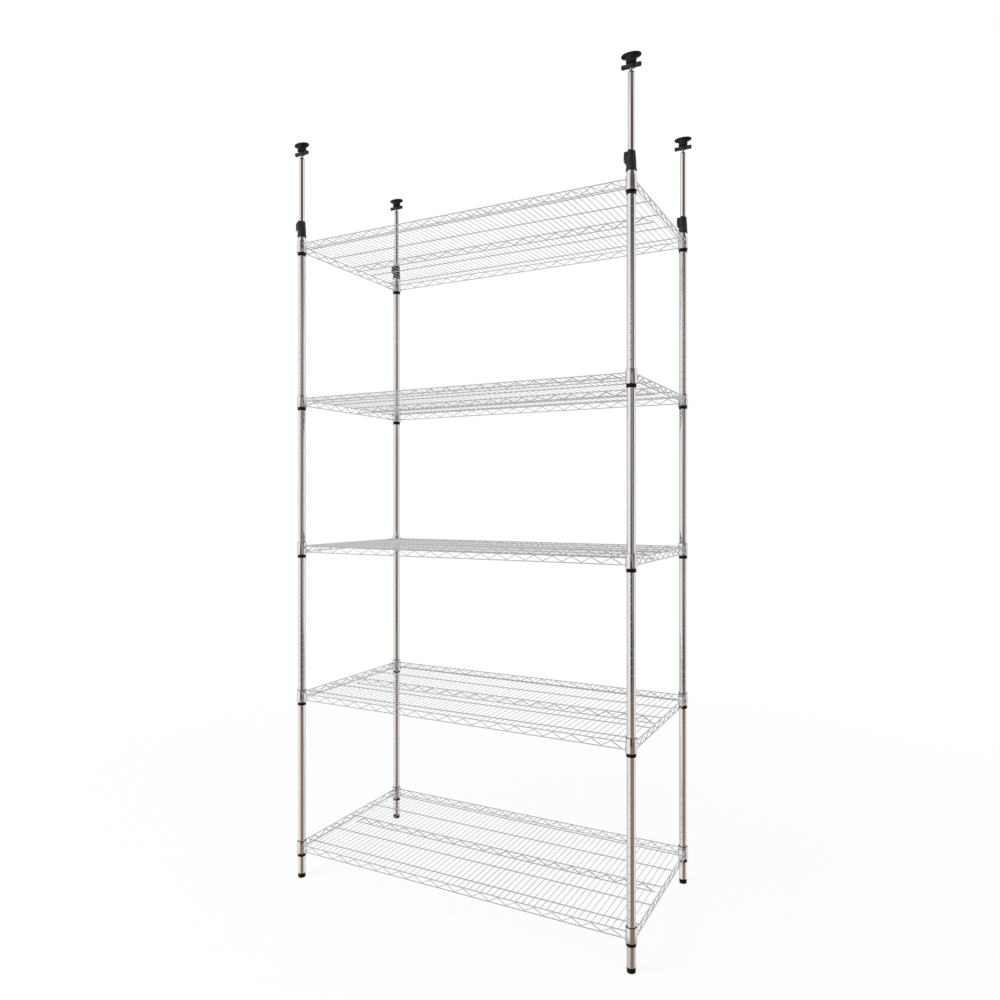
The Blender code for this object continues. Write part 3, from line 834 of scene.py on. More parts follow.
@dataclass
class WireShelf:
    """One welded wire shelf, measured from the lower ends of its collars."""

    shop: Workshop
    half_x: float
    half_y: float
    rail_radius: float = 0.0014
    side_rail_radius: float = 0.0018
    rail_outside: float = 0.010
    rail_low: float = 0.0095
    rail_high: float = 0.0302
    side_drop: float = 0.0010
    long_radius: float = 0.0015
    long_pitch: float = 0.120
    long_height: float = 0.0268
    deck_radius: float = 0.0009
    deck_pitch: float = 0.020
    weld_sink: float = 0.0002
    brace_radius: float = 0.0011
    side_brace_radius: float = 0.0014
    brace_half_pitch: float = 0.030
    brace_bend_radius: float = 0.004
    brace_bend_steps: int = 3
    chord_height: float = 0.0062
    chord_reach: float = 0.580
    collar_bottom: float = 0.0168
    collar_top: float = 0.0155
    collar_height: float = 0.0415
    collar_wall: float = 0.0010
    collar_rim: float = 0.0006
    weld_depth: float = 0.0012
    collar_weld: float = 0.0004
    bead_radius: float = 0.0025

    def collar_chord(self, height: float, inside: float) -> float:
        """How far from a post's axis a rail at a height gets inside the collar's face."""
        taper = (self.collar_top - self.collar_bottom) * height / self.collar_height
        return math.sqrt((self.collar_bottom + taper - inside) ** 2 - self.rail_outside ** 2)

    def row(self, count: int, first: Triple, step: Triple, run: Triple, radius: float,
            faces: int = WIRE_FACES) -> Mesh:
        """A row of straight wires.

        Args:
            count: Number of wires.
            first: Start of the first wire.
            step: Way from one wire to the next.
            run: Way from a wire's start to its end.
            radius: Radius of the wires.
            faces: Faces round each wire.

        Returns:
            The row's mesh.
        """
        return grow(self.shop.wire_row, {"Count": count, "First": first, "Step": step, "Run": run,
                                         "Radius": radius, "Faces": faces})

    def rails(self) -> list[Mesh]:
        """Upper and lower rails of the four edge trusses.

        Returns:
            The rails' meshes, a pair for each edge.
        """
        lift = (0.0, 0.0, self.rail_high - self.rail_low)
        short = self.collar_chord(self.rail_high, self.collar_weld)
        half, aside = self.half_x - short, self.half_y + self.rail_outside
        parts = [self.row(2, (-half, side * aside, self.rail_low), lift, (2 * half, 0.0, 0.0),
                          self.rail_radius) for side in SIDES]
        half, aside = self.half_y - short, self.half_x + self.rail_outside
        low = self.rail_low - self.side_drop
        parts += [self.row(2, (side * aside, -half, low), lift, (0.0, 2 * half, 0.0),
                           self.side_rail_radius) for side in SIDES]
        return parts

    def zigzag(self, reach: float, middle: float, beside: float, radius: float) -> Mesh:
        """A zigzag brace along X between two heights.

        Args:
            reach: Half the distance that it may cover.
            middle: Height of the bend in its middle, and of each second one from there.
            beside: Height of the bends between those.
            radius: The wire's radius.

        Returns:
            The brace's mesh.
        """
        each_side = math.floor(reach / self.brace_half_pitch)
        first, second = (beside, middle) if each_side % 2 else (middle, beside)
        return grow(self.shop.zigzag, {
            "Bends": 2 * each_side + 1, "Half Pitch": self.brace_half_pitch, "Low": first,
            "High": second, "Bend Steps": self.brace_bend_steps,
            "Bend Radius": self.brace_bend_radius, "Radius": radius, "Faces": THIN_WIRE_FACES})

    def braces(self) -> list[Mesh]:
        """Zigzag braces of the four edge trusses.

        Returns:
            The braces' meshes.
        """
        margin = self.rail_radius + self.brace_radius - self.weld_sink
        low, high = self.rail_low + margin, self.rail_high - margin
        front = self.zigzag(self.half_x, high, low, self.brace_radius)
        flank = moved(self.zigzag(self.half_y, low, high, self.side_brace_radius), CROSSWISE)
        parts = []
        for side in SIDES:
            ahead = side * (self.half_y + self.rail_outside)
            aside = side * (self.half_x + self.rail_outside)
            parts.append(moved(front, Vector((0.0, ahead, 0.0))))
            parts.append(moved(flank, Vector((aside, 0.0, -self.side_drop))))
        return parts

    def deck(self) -> list[Mesh]:
        """Long wires, deck wires over them and the truss under the middle of the deck.

        Returns:
            The wires' meshes.
        """
        past_posts = self.rail_outside - self.rail_radius + self.weld_depth
        side_face, front_face = self.half_x + past_posts, self.half_y + past_posts
        each_side = math.floor(self.half_y / self.long_pitch)
        long_wires = self.row(
            2 * each_side + 1, (-side_face, -each_side * self.long_pitch, self.long_height),
            (0.0, self.long_pitch, 0.0), (2 * side_face, 0.0, 0.0), self.long_radius)
        each_side = math.floor(self.half_x / self.deck_pitch)
        deck_height = self.long_height + self.long_radius + self.deck_radius - self.weld_sink
        deck_wires = self.row(
            2 * each_side + 1, (-each_side * self.deck_pitch, -front_face, deck_height),
            (self.deck_pitch, 0.0, 0.0), (0.0, 2 * front_face, 0.0), self.deck_radius,
            THIN_WIRE_FACES)
        chord = self.row(1, (-self.chord_reach, 0.0, self.chord_height), (0.0, 0.0, 0.0),
                         (2 * self.chord_reach, 0.0, 0.0), self.long_radius)
        margin = self.long_radius + self.side_brace_radius - self.weld_sink
        web = self.zigzag(self.half_x, self.long_height - margin, self.chord_height + margin,
                          self.side_brace_radius)
        return [long_wires, deck_wires, chord, web]

    def collars(self) -> list[Mesh]:
        """The four tapered collars with rolled rims.

        Returns:
            The collars' meshes.
        """
        collar = lathe([
            (self.collar_bottom, 0.0, Edge.SLIGHT),
            (self.collar_top, self.collar_height, Edge.SLIGHT),
            (self.collar_top - self.collar_rim, self.collar_height, Edge.SLIGHT),
            (self.collar_bottom - self.collar_wall, 0.0, Edge.SLIGHT)], TUBE_FACES)
        return [moved(collar, post.at(0.0)) for post in Post]

    def beads(self) -> Mesh:
        """Weld beads where the rails meet the collars.

        Returns:
            The beads' mesh.
        """
        spots = []
        for x_side in SIDES:
            for y_side in SIDES:
                for height in (self.rail_low, self.rail_high):
                    short = self.collar_chord(height, 0.0)
                    spots.append((x_side * (self.half_x - short),
                                  y_side * (self.half_y + self.rail_outside), height))
                    spots.append((x_side * (self.half_x + self.rail_outside),
                                  y_side * (self.half_y - short), height - self.side_drop))
        points = bpy.data.meshes.new("weld_spots")
        points.from_pydata(spots, [], [])
        return grow(self.shop.weld_beads, {"Radius": self.bead_radius}, points)

    def build(self, levels: Sequence[str]) -> None:
        """Join one shelf from its parts and set a copy of it at each level.

        Args:
            levels: Names of the shelves' nodes.
        """
        parts = [*self.rails(), *self.braces(), *self.deck(), *self.collars(), self.beads()]
        shelf = joined(parts, "wire_shelf")
        for node in levels:
            low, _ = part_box(node)
            mesh = moved(shelf, Vector((0.0, 0.0, low.z)))
            self.shop.hand_over(f"wire_{node}", mesh, "frame", Slot.WIRE, [node])


@dataclass
class CornerAssembly:
    """A sub-assembly on one of the posts."""

    shop: Workshop
    post: Post

    def named(self, kind: str) -> str:
        """Name of this post's node, body or piece of a kind."""
        return f"{kind}_{self.post.value}"

    def settle(self, kind: str, mesh: Mesh, height: float, body: str, slot: Slot,
               nodes: Sequence[str] = (), finish: Finish | None = None) -> None:
        """Put a mesh on the post's axis and hand it over; see Workshop.hand_over."""
        place = moved(mesh, self.post.at(height))
        self.shop.hand_over(self.named(kind), place, body, slot, nodes, finish)


@dataclass
class Upright(CornerAssembly):
    """A corner post with its end plug, its levelling foot and the sleeves of its shelves."""

    tube_radius: float = 0.0125
    tube_wall: float = 0.0012
    groove_pitch: float = 0.025
    groove_width: float = 0.0018
    groove_depth: float = 0.00022
    sleeve_skirt: float = 0.0142
    sleeve_below: float = 0.0110
    sleeve_bottom: float = 0.0155
    sleeve_top: float = 0.0147
    sleeve_bore: float = 0.0127
    sleeve_seam: float = 0.0005
    sleeve_bead: float = 0.0003
    plug_height: float = 0.014
    stud_core: float = 0.0034
    stud_ridge: float = 0.0006
    stud_pitch: float = 0.00125
    stud_length: float = 0.029
    stud_steps: int = 12
    stud_sink: float = 0.0005
    foot_radius: float = 0.0128
    foot_gap: float = 0.0003
    foot_draft: float = 0.0004
    foot_line_depth: float = 0.0005
    foot_line_drops: tuple[float, ...] = (0.0036, 0.0034, 0.0028, 0.0026)

    def tube(self, sleeves: Sequence[str]) -> None:
        """Build the grooved tube; its grooves run from the lowest to the highest sleeve.

        Args:
            sleeves: Names of the post's sleeve nodes, from the bottom.
        """
        node = self.named("post")
        low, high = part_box(node)
        lowest, highest = (sum(corner.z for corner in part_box(sleeve)) / 2
                           for sleeve in (sleeves[0], sleeves[-1]))
        mesh = grow(self.shop.grooved_tube, {
            "Length": high.z - low.z, "Radius": self.tube_radius,
            "Bore": self.tube_radius - self.tube_wall, "First Groove": lowest - low.z,
            "Pitch": self.groove_pitch, "Groove Width": self.groove_width,
            "Groove Depth": self.groove_depth, "Faces": TUBE_FACES,
            "Grooves": round((highest - lowest) / self.groove_pitch) + 1})
        self.settle("post_tube", joined([mesh], "post_tube"), low.z, "frame", Slot.CHROME, [node])

    def plug(self) -> None:
        """Build the threaded plug in the tube's lower end."""
        low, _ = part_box(self.named("post"))
        outer = self.tube_radius - self.tube_wall
        bore = self.stud_core + 2 * self.stud_ridge
        mesh = lathe([(outer, 0.0, Edge.SOFT), (outer, self.plug_height),
                      (bore, self.plug_height), (bore, 0.0, Edge.EASED)], PLUG_FACES)
        self.settle("post_plug", mesh, low.z, "frame", Slot.PLASTIC)

    def sleeve(self, node: str) -> None:
        """Build a sleeve as two half shells: a skirt, a wedge in the collar and a bead in a groove.

        Args:
            node: Name of the sleeve's node.
        """
        low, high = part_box(node)
        height = high.z - low.z
        middle = height / 2
        bore, bead, below = self.sleeve_bore, self.sleeve_bead, self.sleeve_below
        section = [
            (self.sleeve_skirt, 0.0, Edge.ROUND), (self.sleeve_skirt, below),
            (self.sleeve_bottom, below + bead), (self.sleeve_top, height, Edge.FINE),
            (bore, height), (bore, middle + 2 * bead), (bore - bead, middle + bead),
            (bore - bead, middle - bead), (bore, middle - 2 * bead), (bore, 0.0)]
        gap = self.sleeve_seam / self.sleeve_bottom
        halves = [lathe(section, ROD_FACES, steps=3, start=start + gap / 2, sweep=math.pi - gap)
                  for start in (0.0, math.pi)]
        mesh = moved(joined(halves, "sleeve"), self.post.at(low.z))
        # The sleeve takes the black that is darkened as painted shade under its collar.
        self.shop.hand_over(f"taper_{node}", mesh, "frame", Slot.PLASTIC, [node], PAINTED_SHADE_BLACK)

    def foot(self) -> None:
        """Build the levelling foot, with a line round it, and its threaded stud."""
        node = self.named("foot")
        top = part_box(self.named("post"))[0].z - self.foot_gap
        radius = self.foot_radius
        inner = radius - self.foot_line_depth
        reaches = (radius, inner, inner, radius)
        line = [(reach, top - drop) for reach, drop in zip(reaches, self.foot_line_drops)]
        cup = lathe([(0.0, 0.0), (radius - self.foot_draft, 0.0, Edge.FULL), *line,
                     (radius, top, Edge.EASED), (0.0, top)], TUBE_FACES, closed=False)
        # The foot takes the same black, darkened as painted shade.
        self.settle("levelling_foot", cup, 0.0, node, Slot.PAD, [node], PAINTED_SHADE_BLACK)
        stud = grow(self.shop.thread, {
            "Length": self.stud_length, "Core Radius": self.stud_core, "Pitch": self.stud_pitch,
            "Ridge": self.stud_ridge, "Steps": self.stud_steps})
        self.settle("foot_stud", joined([stud], "foot_stud"), top - self.stud_sink, node,
                    Slot.STEEL)

    def build(self, sleeves: Sequence[str]) -> None:
        """Build all the upright's pieces.

        Args:
            sleeves: Names of the post's sleeve nodes, from the bottom.
        """
        self.tube(sleeves)
        self.plug()
        for node in sleeves:
            self.sleeve(node)
        self.foot()


@dataclass
class CeilingBrace(CornerAssembly):
    """What stands on a post: clamp with lever, sliding pole with nut, and screw jack with pad."""

    clamp_radius: float = 0.0138
    clamp_flare: float = 0.0156
    clamp_skirt: float = 0.0143
    clamp_flare_height: float = 0.0120
    clamp_shoulder: float = 0.0285
    clamp_top: float = 0.0119
    clamp_seat: float = 0.0223
    seam_depth: float = 0.0005
    seam_width: float = 0.0007
    post_bore: float = 0.0128
    pole_bore: float = 0.0098
    rib_angle: float = -97.0
    rim_drop: float = 0.0011
    rib_half_width: float = 0.0036
    rib_reach: float = 0.0152
    rib_bottom: float = 0.0250
    cheek_inner: float = 0.0063
    cheek_outer: float = 0.0088
    cheek_bottom: float = 0.0230
    cheek_top: float = 0.0478
    cheek_root: float = 0.0530
    cheek_reach: float = 0.0194
    hinge_out: float = 0.0174
    hinge_up: float = 0.0275
    pin_radius: float = 0.0016
    pin_proud: float = 0.0003
    lever_half: float = 0.0029
    lever_length: float = 0.0272
    lever_lean: float = 0.0024
    lever_width: float = 0.0120
    lever_nose: float = 0.0030
    lever_slope: float = 0.0045
    heel_steps: int = 10
    grip_count: int = 4
    grip_first: float = 0.0075
    grip_pitch: float = 0.0022
    grip_half_width: float = 0.0040
    grip_half_height: float = 0.0005
    grip_proud: float = 0.0002
    grip_sink: float = 0.0006
    pole_radius: float = 0.0095
    pole_wall: float = 0.0010
    nut_gap: float = 0.0003
    nut_rim: float = 0.0022
    nut_top: float = 0.0084
    nut_height: float = 0.0033
    nut_depth: float = 0.0200
    screw_core: float = 0.0041
    screw_ridge: float = 0.0006
    screw_pitch: float = 0.0020
    screw_length: float = 0.0695
    screw_steps: int = 14
    screw_overlap: float = 0.001
    handle_half: float = 0.0294
    handle_end: float = 0.0055
    handle_waist: float = 0.0046
    handle_neck: float = 0.0060
    handle_height: float = 0.0112
    handle_gap: float = 0.0003
    lobe_spread: float = 125.0
    lobe_steps: int = 16
    boss_depth: float = 0.0090
    boss_half: float = 0.0055
    boss_foot: float = 0.0105
    spigot_length: float = 0.0078
    pad_half_length: float = 0.0290
    pad_half_width: float = 0.0172
    hub_top: float = 0.0155
    hub_bottom: float = 0.0145
    hub_low: float = 0.0259
    socket_radius: float = 0.0050
    socket_depth: float = 0.0082
    # Ovals of the pad's hub fillet and of its rim: growth in length and in width beyond the hub
    # or the plate, and height.
    hub_fillet: tuple[Triple, ...] = (
        (0.0, 0.0, -0.0082), (0.0006, 0.0004, -0.0070), (0.0022, 0.0010, -0.0065))
    pad_rim: tuple[Triple, ...] = (
        (-0.0016, -0.0012, -0.0062), (-0.0004, -0.0003, -0.0055), (0.0, 0.0, -0.0044),
        (0.0, 0.0, -0.0020), (-0.0005, -0.0004, -0.0008), (-0.0018, -0.0014, 0.0))
    # Grooves in the pad's top: distance from a groove's outer edge, and height.
    pad_groove: tuple[Point, ...] = (
        (0.0, 0.0), (0.0003, -0.0007), (0.0014, -0.0007), (0.0017, 0.0))
    pad_groove_count: int = 3
    pad_groove_first: float = 0.0045
    pad_groove_pitch: float = 0.0036

    def hinge(self) -> Vector:
        """Middle of the lever's hinge."""
        low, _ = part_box(self.named("clamp"))
        return self.post.at(low.z + self.hinge_up) - Vector((self.hinge_out, 0.0, 0.0))

    def clamp(self) -> None:
        """Build the clamp body with its lever cheeks and its rib, and the hinge pin."""
        node = self.named("clamp")
        low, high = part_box(node)
        height = high.z - low.z
        rim = height - self.rim_drop
        radius, seat = self.clamp_radius, self.clamp_seat
        seam_low = seat - self.seam_width
        seam = radius - self.seam_depth
        parts = [lathe([
            (self.clamp_flare, 0.0, Edge.SOFT),
            (self.clamp_skirt, self.clamp_flare_height, Edge.WIDE),
            (self.clamp_skirt, seam_low, Edge.HAIR), (seam, seam_low), (seam, seat), (radius, seat),
            (radius, self.clamp_shoulder, Edge.GREAT), (self.clamp_top, rim, Edge.SOFT),
            (self.pole_bore, rim, Edge.FINE), (self.pole_bore, seat), (self.post_bore, seat),
            (self.post_bore, 0.0, Edge.FINE)], CLAMP_FACES)]
        wall_middle = (self.clamp_top + self.pole_bore) / 2
        root = -math.sqrt(wall_middle ** 2 - self.cheek_inner ** 2)
        cheek = softened([(-self.cheek_reach, self.cheek_bottom, Edge.ROUND),
                          (root, self.cheek_bottom), (root, self.cheek_root),
                          (-self.cheek_reach, self.cheek_top, Edge.BROAD)])
        for side in SIDES:
            near, far = sorted((side * self.cheek_inner, side * self.cheek_outer))
            parts.append(moved(bevelled_prism(cheek, near, far, Edge.SOFT), ON_EDGE))
        rib = rounded_block((wall_middle, -self.rib_half_width, self.rib_bottom),
                            (self.rib_reach, self.rib_half_width, height), Edge.ROUND)
        parts.append(moved(rib, Matrix.Rotation(math.radians(self.rib_angle), 4, "Z")))
        self.settle("clamp_body", joined(parts, "clamp"), low.z, "frame", Slot.PLASTIC, [node])
        reach = self.cheek_outer + self.pin_proud
        pin = lathe([(0.0, -reach), (self.pin_radius, -reach, Edge.SLIGHT),
                     (self.pin_radius, reach, Edge.SLIGHT), (0.0, reach)], PIN_FACES, closed=False)
        pin = moved(pin, Matrix.Translation(self.hinge()) @ ON_EDGE)
        self.shop.hand_over(self.named("clamp_pin"), pin, "frame", Slot.STEEL)

    def lever(self) -> None:
        """Build the clamp lever with its finger ribs."""
        node = self.named("lever")
        half, tip, aside = self.lever_half, self.lever_length, self.lever_width / 2
        heel = [(half * math.cos(angle), half * math.sin(angle))
                for angle in (math.pi + math.pi * step / self.heel_steps
                              for step in range(self.heel_steps + 1))]
        blade = softened([(half + self.lever_lean, tip, Edge.ROUND),
                          (self.lever_nose - half, tip, Edge.FULL),
                          (-half, tip - self.lever_slope, Edge.WIDE)])
        parts = [moved(bevelled_prism(heel + blade, -aside, aside, Edge.EASED), ON_EDGE)]
        for step in range(self.grip_count):
            height = tip - self.grip_first - self.grip_pitch * step
            parts.append(rounded_block(
                (-half - self.grip_proud, -self.grip_half_width, height - self.grip_half_height),
                (-half + self.grip_sink, self.grip_half_width, height + self.grip_half_height),
                Edge.TRACE))
        mesh = moved(joined(parts, "lever"), self.hinge())
        self.shop.hand_over(self.named("clamp_lever"), mesh, node, Slot.PLASTIC, [node])

    def pole(self) -> None:
        """Build the sliding pole and the flanged nut in its upper end."""
        node = self.named("pole")
        low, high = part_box(node)
        length = high.z - low.z
        outer, gap = self.pole_radius, self.nut_gap
        bore = outer - self.pole_wall
        tube = lathe([(outer, 0.0, Edge.HAIR), (outer, length, Edge.SOFT), (bore, length),
                      (bore, 0.0)], TUBE_FACES)
        self.settle("sliding_pole", tube, low.z, node, Slot.CHROME, [node])
        thread = self.screw_core + self.screw_ridge + gap
        nut = lathe([
            (outer - gap, gap), (outer - gap, self.nut_rim, Edge.SOFT),
            (self.nut_top, self.nut_height, Edge.SOFT), (thread, self.nut_height, Edge.HAIR),
            (thread, -self.nut_depth), (bore - gap, -self.nut_depth), (bore - gap, gap)],
            TUBE_FACES, steps=3)
        self.settle("pole_nut", nut, high.z, node, Slot.STEEL, [self.named("nut")], NUT_STEEL)

    def handle_plan(self) -> list[Point]:
        """Plan of the jack's bar handle: round ends, slim waists and a central boss.

        Returns:
            The outline's points.
        """
        end = self.handle_half - self.handle_end
        neck = end - self.handle_neck
        spread = math.radians(self.lobe_spread)
        lobe = [(end + self.handle_end * math.cos(angle), self.handle_end * math.sin(angle))
                for angle in (-spread + 2 * spread * step / self.lobe_steps
                              for step in range(self.lobe_steps + 1))]
        waist, boss = self.handle_waist, self.boss_depth
        root_x, root_y = lobe[-1]
        bridge = softened([
            (root_x, root_y), (neck, waist, Edge.BROAD), (self.boss_foot, waist, Edge.WIDE),
            (self.boss_half, boss, Edge.WIDE), (-self.boss_half, boss, Edge.WIDE),
            (-self.boss_foot, waist, Edge.WIDE), (-neck, waist, Edge.BROAD), (-root_x, root_y)],
            closed=False)
        half = lobe[:-1] + bridge[:-1]
        return half + [(-x, -y) for x, y in half]

    def jack(self) -> None:
        """Build the bar handle and the jack screw that it turns."""
        body = self.named("jack")
        height = self.handle_height
        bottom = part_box(self.named("pad"))[0].z - self.handle_gap - height
        handle = bevelled_prism(self.handle_plan(), 0.0, height, Edge.DEEP)
        self.settle("jack_handle", handle, bottom, body, Slot.PLASTIC, [body])
        rod = grow(self.shop.thread, {
            "Length": self.screw_length, "Core Radius": self.screw_core,
            "Pitch": self.screw_pitch, "Ridge": self.screw_ridge, "Steps": self.screw_steps})
        rod = moved(rod, Vector((0.0, 0.0, self.screw_overlap - self.screw_length)))
        radius = self.screw_core + self.screw_ridge
        low, high = height - self.screw_overlap, height + self.spigot_length
        spigot = lathe([(0.0, low), (radius, low), (radius, high, Edge.EASED), (0.0, high)],
                       SPIGOT_FACES, closed=False)
        self.settle("jack_screw", joined([rod, spigot], "jack_screw"), bottom, body, Slot.STEEL)

    def pad(self) -> None:
        """Build the oval ceiling pad with its hub, its socket and the grooves in its top."""
        node = self.named("pad")
        _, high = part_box(node)
        low = -self.hub_low
        long, wide = self.pad_half_length, self.pad_half_width
        rounds = [(self.socket_radius, low + self.socket_depth),
                  (self.socket_radius, low + Edge.FINE), (self.socket_radius + Edge.FINE, low),
                  (self.hub_bottom - Edge.ROUND, low), (self.hub_bottom, low + Edge.ROUND)]
        sections = [(radius, radius, height) for radius, height in rounds]
        sections += [(self.hub_top + longer, self.hub_top + wider, height)
                     for longer, wider, height in self.hub_fillet]
        sections += [(long + longer, wide + wider, height)
                     for longer, wider, height in self.pad_rim]
        for ring in range(self.pad_groove_count):
            out = self.pad_groove_first + self.pad_groove_pitch * ring
            sections += [(long - out - inside, wide - out - inside, height)
                         for inside, height in self.pad_groove]
        self.settle("ceiling_pad", oval_stack(sections, PAD_FACES), high.z, node, Slot.PAD, [node])

    def build(self) -> None:
        """Build all the pieces above the post."""
        self.clamp()
        self.lever()
        self.pole()
        self.jack()
        self.pad()


@dataclass
class Studio:
    """Camera, floor and light; the room that the chrome mirrors is painted on the world."""

    camera_place: Triple = (1.2688, -2.3726, 1.312)
    camera_yaw: float = 27.467
    lens: float = 28.0
    sensor: float = 36.0
    floor_radius: float = 7.0
    floor_sides: int = 96
    floor_drop: float = 0.0005
    floor_white: Triple = (0.90, 0.90, 0.90)
    floor_roughness: float = 0.9
    floor_glow: float = 0.90
    glow_from: float = 1.0
    glow_share: float = 0.45
    lamp_place: Triple = (-1.6, -3.0, 4.2)
    lamp_aim: Triple = (0.0, 0.0, 1.2)
    lamp_size: float = 3.0
    lamp_power: float = 130.0
    backdrop: Triple = (1.0, 1.0, 1.0)
    room_light: Triple = (0.70, 0.70, 0.70)
    room_back: Triple = (0.48, 0.48, 0.49)
    room_floor: Triple = (0.57, 0.56, 0.55)
    room_ceiling: Triple = (0.24, 0.24, 0.25)
    side_low: Triple = (0.305, 0.215, 0.162)
    side_level: Triple = (0.400, 0.350, 0.335)
    side_high: Triple = (0.130, 0.098, 0.082)
    side_dark: Triple = (0.050, 0.038, 0.032)
    stripe_depth: float = 0.42
    # Parts of the horizon: degrees from the camera's side, and level there.
    side_sector: tuple[Point, ...] = ((-36.0, 0.0), (-26.0, 1.0), (61.5, 1.0), (72.5, 0.0))
    strip_sector: tuple[Point, ...] = ((-50.0, 0.0), (-42.0, 1.0), (0.0, 1.0), (8.0, 0.0))
    edge_sector: tuple[Point, ...] = ((26.0, 0.0), (38.0, 1.0), (80.0, 1.0), (90.0, 0.0))
    back_sector: tuple[Point, ...] = ((-140.0, 1.0), (-102.0, 0.0), (112.0, 0.0), (150.0, 1.0))
    # Heights on the world's sphere, from -1 to 1, where a colour starts and where it is full.
    low_rise: Point = (-0.03, -0.27)
    high_rise: Point = (0.22, 0.34)
    edge_rise: Point = (-0.14, 0.08)
    stripe_top: Point = (-0.12, -0.17)
    stripe_bottom: Point = (-0.28, -0.22)
    strip_bottom: Point = (-0.27, -0.22)
    strip_top: Point = (0.20, -0.06)
    floor_rise: Point = (-0.43, -0.53)
    ceiling_rise: Point = (0.52, 0.70)

    def camera(self) -> None:
        """Set the camera at the photograph's place."""
        data = bpy.data.cameras.new("camera")
        data.lens = self.lens
        data.sensor_width = self.sensor
        view = bpy.data.objects.new("camera", data)
        view.location = self.camera_place
        view.rotation_euler = (math.pi / 2, 0.0, math.radians(self.camera_yaw))
        bpy.context.scene.collection.objects.link(view)
        bpy.context.scene.camera = view

    def floor_finish(self) -> bpy.types.Material:
        """Pale floor that goes over into the white background.

        Returns:
            The material.
        """
        material = bpy.data.materials.new("pale_floor")
        material.use_nodes = True
        nodes = material.node_tree.nodes
        sketch = NodeSketch(material.node_tree)
        shader = nodes["Principled BSDF"]
        shader.inputs["Base Color"].default_value = (*self.floor_white, 1.0)
        shader.inputs["Roughness"].default_value = self.floor_roughness
        place = sketch.put("ShaderNodeTexCoord").outputs["Object"]
        distance = sketch.put("ShaderNodeVectorMath", {0: place}, operation="LENGTH")
        fade = sketch.put("ShaderNodeMapRange", {
            "Value": distance.outputs["Value"], "From Min": self.glow_from,
            "From Max": self.glow_share * self.floor_radius, "To Min": self.floor_glow,
            "To Max": 1.0})
        seen = sketch.put("ShaderNodeLightPath").outputs["Is Camera Ray"]
        glow = sketch.put("ShaderNodeEmission", {"Color": (1.0, 1.0, 1.0, 1.0), "Strength": 1.0})
        mix = sketch.put("ShaderNodeMixShader", {
            0: sketch.times(fade.outputs[0], seen), 1: shader.outputs[0], 2: glow.outputs[0]})
        sketch.feed(nodes["Material Output"].inputs["Surface"], mix.outputs[0])
        return material

    def floor(self) -> None:
        """Lay the round floor."""
        bm = bmesh.new()
        bmesh.ops.create_circle(bm, cap_ends=True, segments=self.floor_sides,
                                radius=self.floor_radius)
        mesh = bpy.data.meshes.new("floor")
        bm.to_mesh(mesh)
        bm.free()
        mesh.materials.append(self.floor_finish())
        floor = bpy.data.objects.new("floor", mesh)
        floor.location = (0.0, 0.0, -self.floor_drop)
        floor.visible_glossy = False
        bpy.context.scene.collection.objects.link(floor)

    def lamp(self) -> None:
        """Hang one large soft lamp above and in front."""
        data = bpy.data.lights.new("soft_lamp", "AREA")
        data.shape = "DISK"
        data.size = self.lamp_size
        data.energy = self.lamp_power
        lamp = bpy.data.objects.new("soft_lamp", data)
        lamp.location = self.lamp_place
        aim = Vector(self.lamp_aim) - Vector(self.lamp_place)
        lamp.rotation_euler = aim.to_track_quat("-Z", "Y").to_euler()
        lamp.visible_glossy = False
        bpy.context.scene.collection.objects.link(lamp)

    def sector(self, sketch: NodeSketch, turned: Socket, stops: Sequence[Point]) -> Socket:
        """Mask of a part of the horizon.

        Args:
            sketch: The world's nodes.
            turned: Angle from the camera's side, in radians.
            stops: Degrees and level of each stop.

        Returns:
            The mask's socket.
        """
        share = sketch.plus(sketch.math("DIVIDE", turned, math.tau), 0.5)
        ramp = sketch.put("ShaderNodeValToRGB", {"Fac": share})
        elements = ramp.color_ramp.elements
        while len(elements) < len(stops):
            elements.new(0.5)
        for element, (degrees, level) in zip(elements, stops):
            element.position = degrees / 360.0 + 0.5
            element.color = (level, level, level, 1.0)
        return ramp.outputs["Color"]

    def brown_side(self, sketch: NodeSketch, turned: Socket, rise: Socket) -> Socket:
        """Brown side of the room: pale at eye level, dark above, with two dark stripes.

        Args:
            sketch: The world's nodes.
            turned: Angle from the camera's side, in radians.
            rise: Height on the world's sphere.

        Returns:
            The colour's socket.
        """
        edge = self.sector(sketch, turned, self.edge_sector)
        strip = self.sector(sketch, turned, self.strip_sector)
        high_edge = sketch.times(edge, sketch.mapped(rise, *self.edge_rise))
        stripe = sketch.times(sketch.mapped(rise, *self.stripe_top),
                              sketch.mapped(rise, *self.stripe_bottom))
        dark = sketch.times(sketch.mapped(rise, *self.strip_bottom),
                            sketch.mapped(rise, *self.strip_top))
        brown = sketch.mixed(sketch.mapped(rise, *self.low_rise), self.side_level, self.side_low)
        brown = sketch.mixed(sketch.mapped(rise, *self.high_rise), brown, self.side_high)
        brown = sketch.mixed(high_edge, brown, self.side_high)
        brown = sketch.mixed(sketch.times(stripe, self.stripe_depth), brown, self.side_dark)
        return sketch.mixed(sketch.times(strip, dark), brown, self.side_dark)

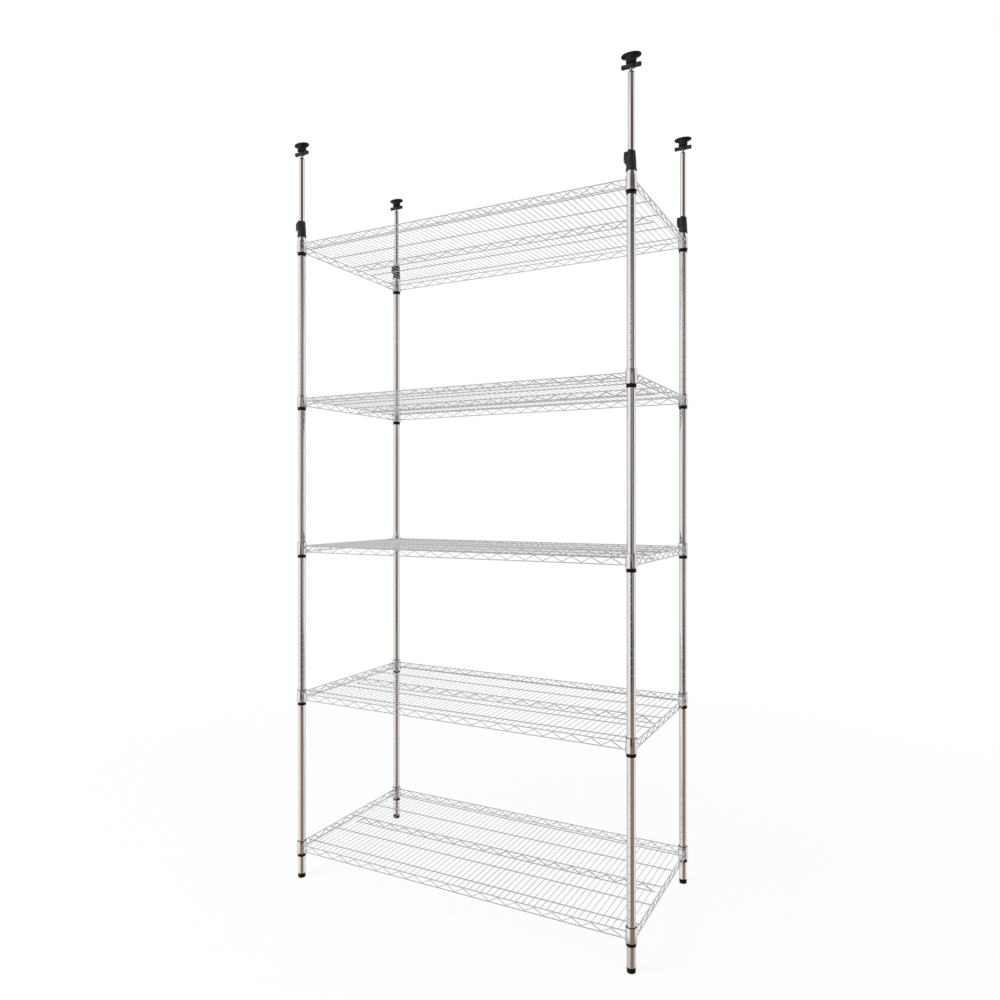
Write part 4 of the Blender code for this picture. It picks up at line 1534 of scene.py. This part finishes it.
    def surroundings(self) -> None:
        """Paint the world: white to the camera, and to metal a bright room with a brown side."""
        world = bpy.data.worlds.new("studio")
        world.use_nodes = True
        bpy.context.scene.world = world
        sketch = NodeSketch(world.node_tree)
        coords = sketch.put("ShaderNodeTexCoord")
        way = sketch.put("ShaderNodeSeparateXYZ", {0: coords.outputs["Generated"]})
        rise = way.outputs["Z"]
        angle = sketch.math("ARCTAN2", way.outputs["Y"], way.outputs["X"])
        facing = math.radians(self.camera_yaw - 90.0)
        turned = sketch.math("WRAP", sketch.minus(angle, facing), math.pi, -math.pi)
        back = self.sector(sketch, turned, self.back_sector)
        walls = sketch.mixed(back, self.backdrop, self.room_back)
        walls = sketch.mixed(sketch.mapped(rise, *self.floor_rise), walls, self.room_floor)
        side = self.sector(sketch, turned, self.side_sector)
        room = sketch.mixed(side, walls, self.brown_side(sketch, turned, rise))
        steep = sketch.mapped(sketch.math("ABSOLUTE", rise), *self.ceiling_rise)
        mirrored = sketch.mixed(steep, room, self.room_ceiling)
        path = sketch.put("ShaderNodeLightPath").outputs
        through = sketch.math("MAXIMUM", path["Is Glossy Ray"], path["Is Transmission Ray"])
        indoors = sketch.mixed(through, self.room_light, mirrored)
        seen = sketch.mixed(path["Is Camera Ray"], indoors, self.backdrop)
        sketch.feed(world.node_tree.nodes["Background"].inputs["Color"], seen)

    def build(self) -> None:
        """Set up camera, floor, lamp and surroundings."""
        self.camera()
        self.floor()
        self.lamp()
        self.surroundings()
        bpy.context.scene.view_settings.view_transform = "Standard"


def main() -> None:
    """Build the unit, piece by piece, and the studio round it."""
    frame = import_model()
    shop = Workshop()
    levels = sorted(name for name in frame["nodes"] if name.startswith("shelf_"))
    corner = Post.BACK_RIGHT.at(0.0)
    WireShelf(shop, corner.x, corner.y).build(levels)
    for post in Post:
        sleeves = [f"sleeve_{node.removeprefix('shelf_')}_{post.value}" for node in levels]
        Upright(shop, post).build(sleeves)
        CeilingBrace(shop, post).build()
    Studio().build()


if __name__ == "__main__":
    logging.basicConfig(level=logging.INFO, format="%(name)s %(message)s")
    main()
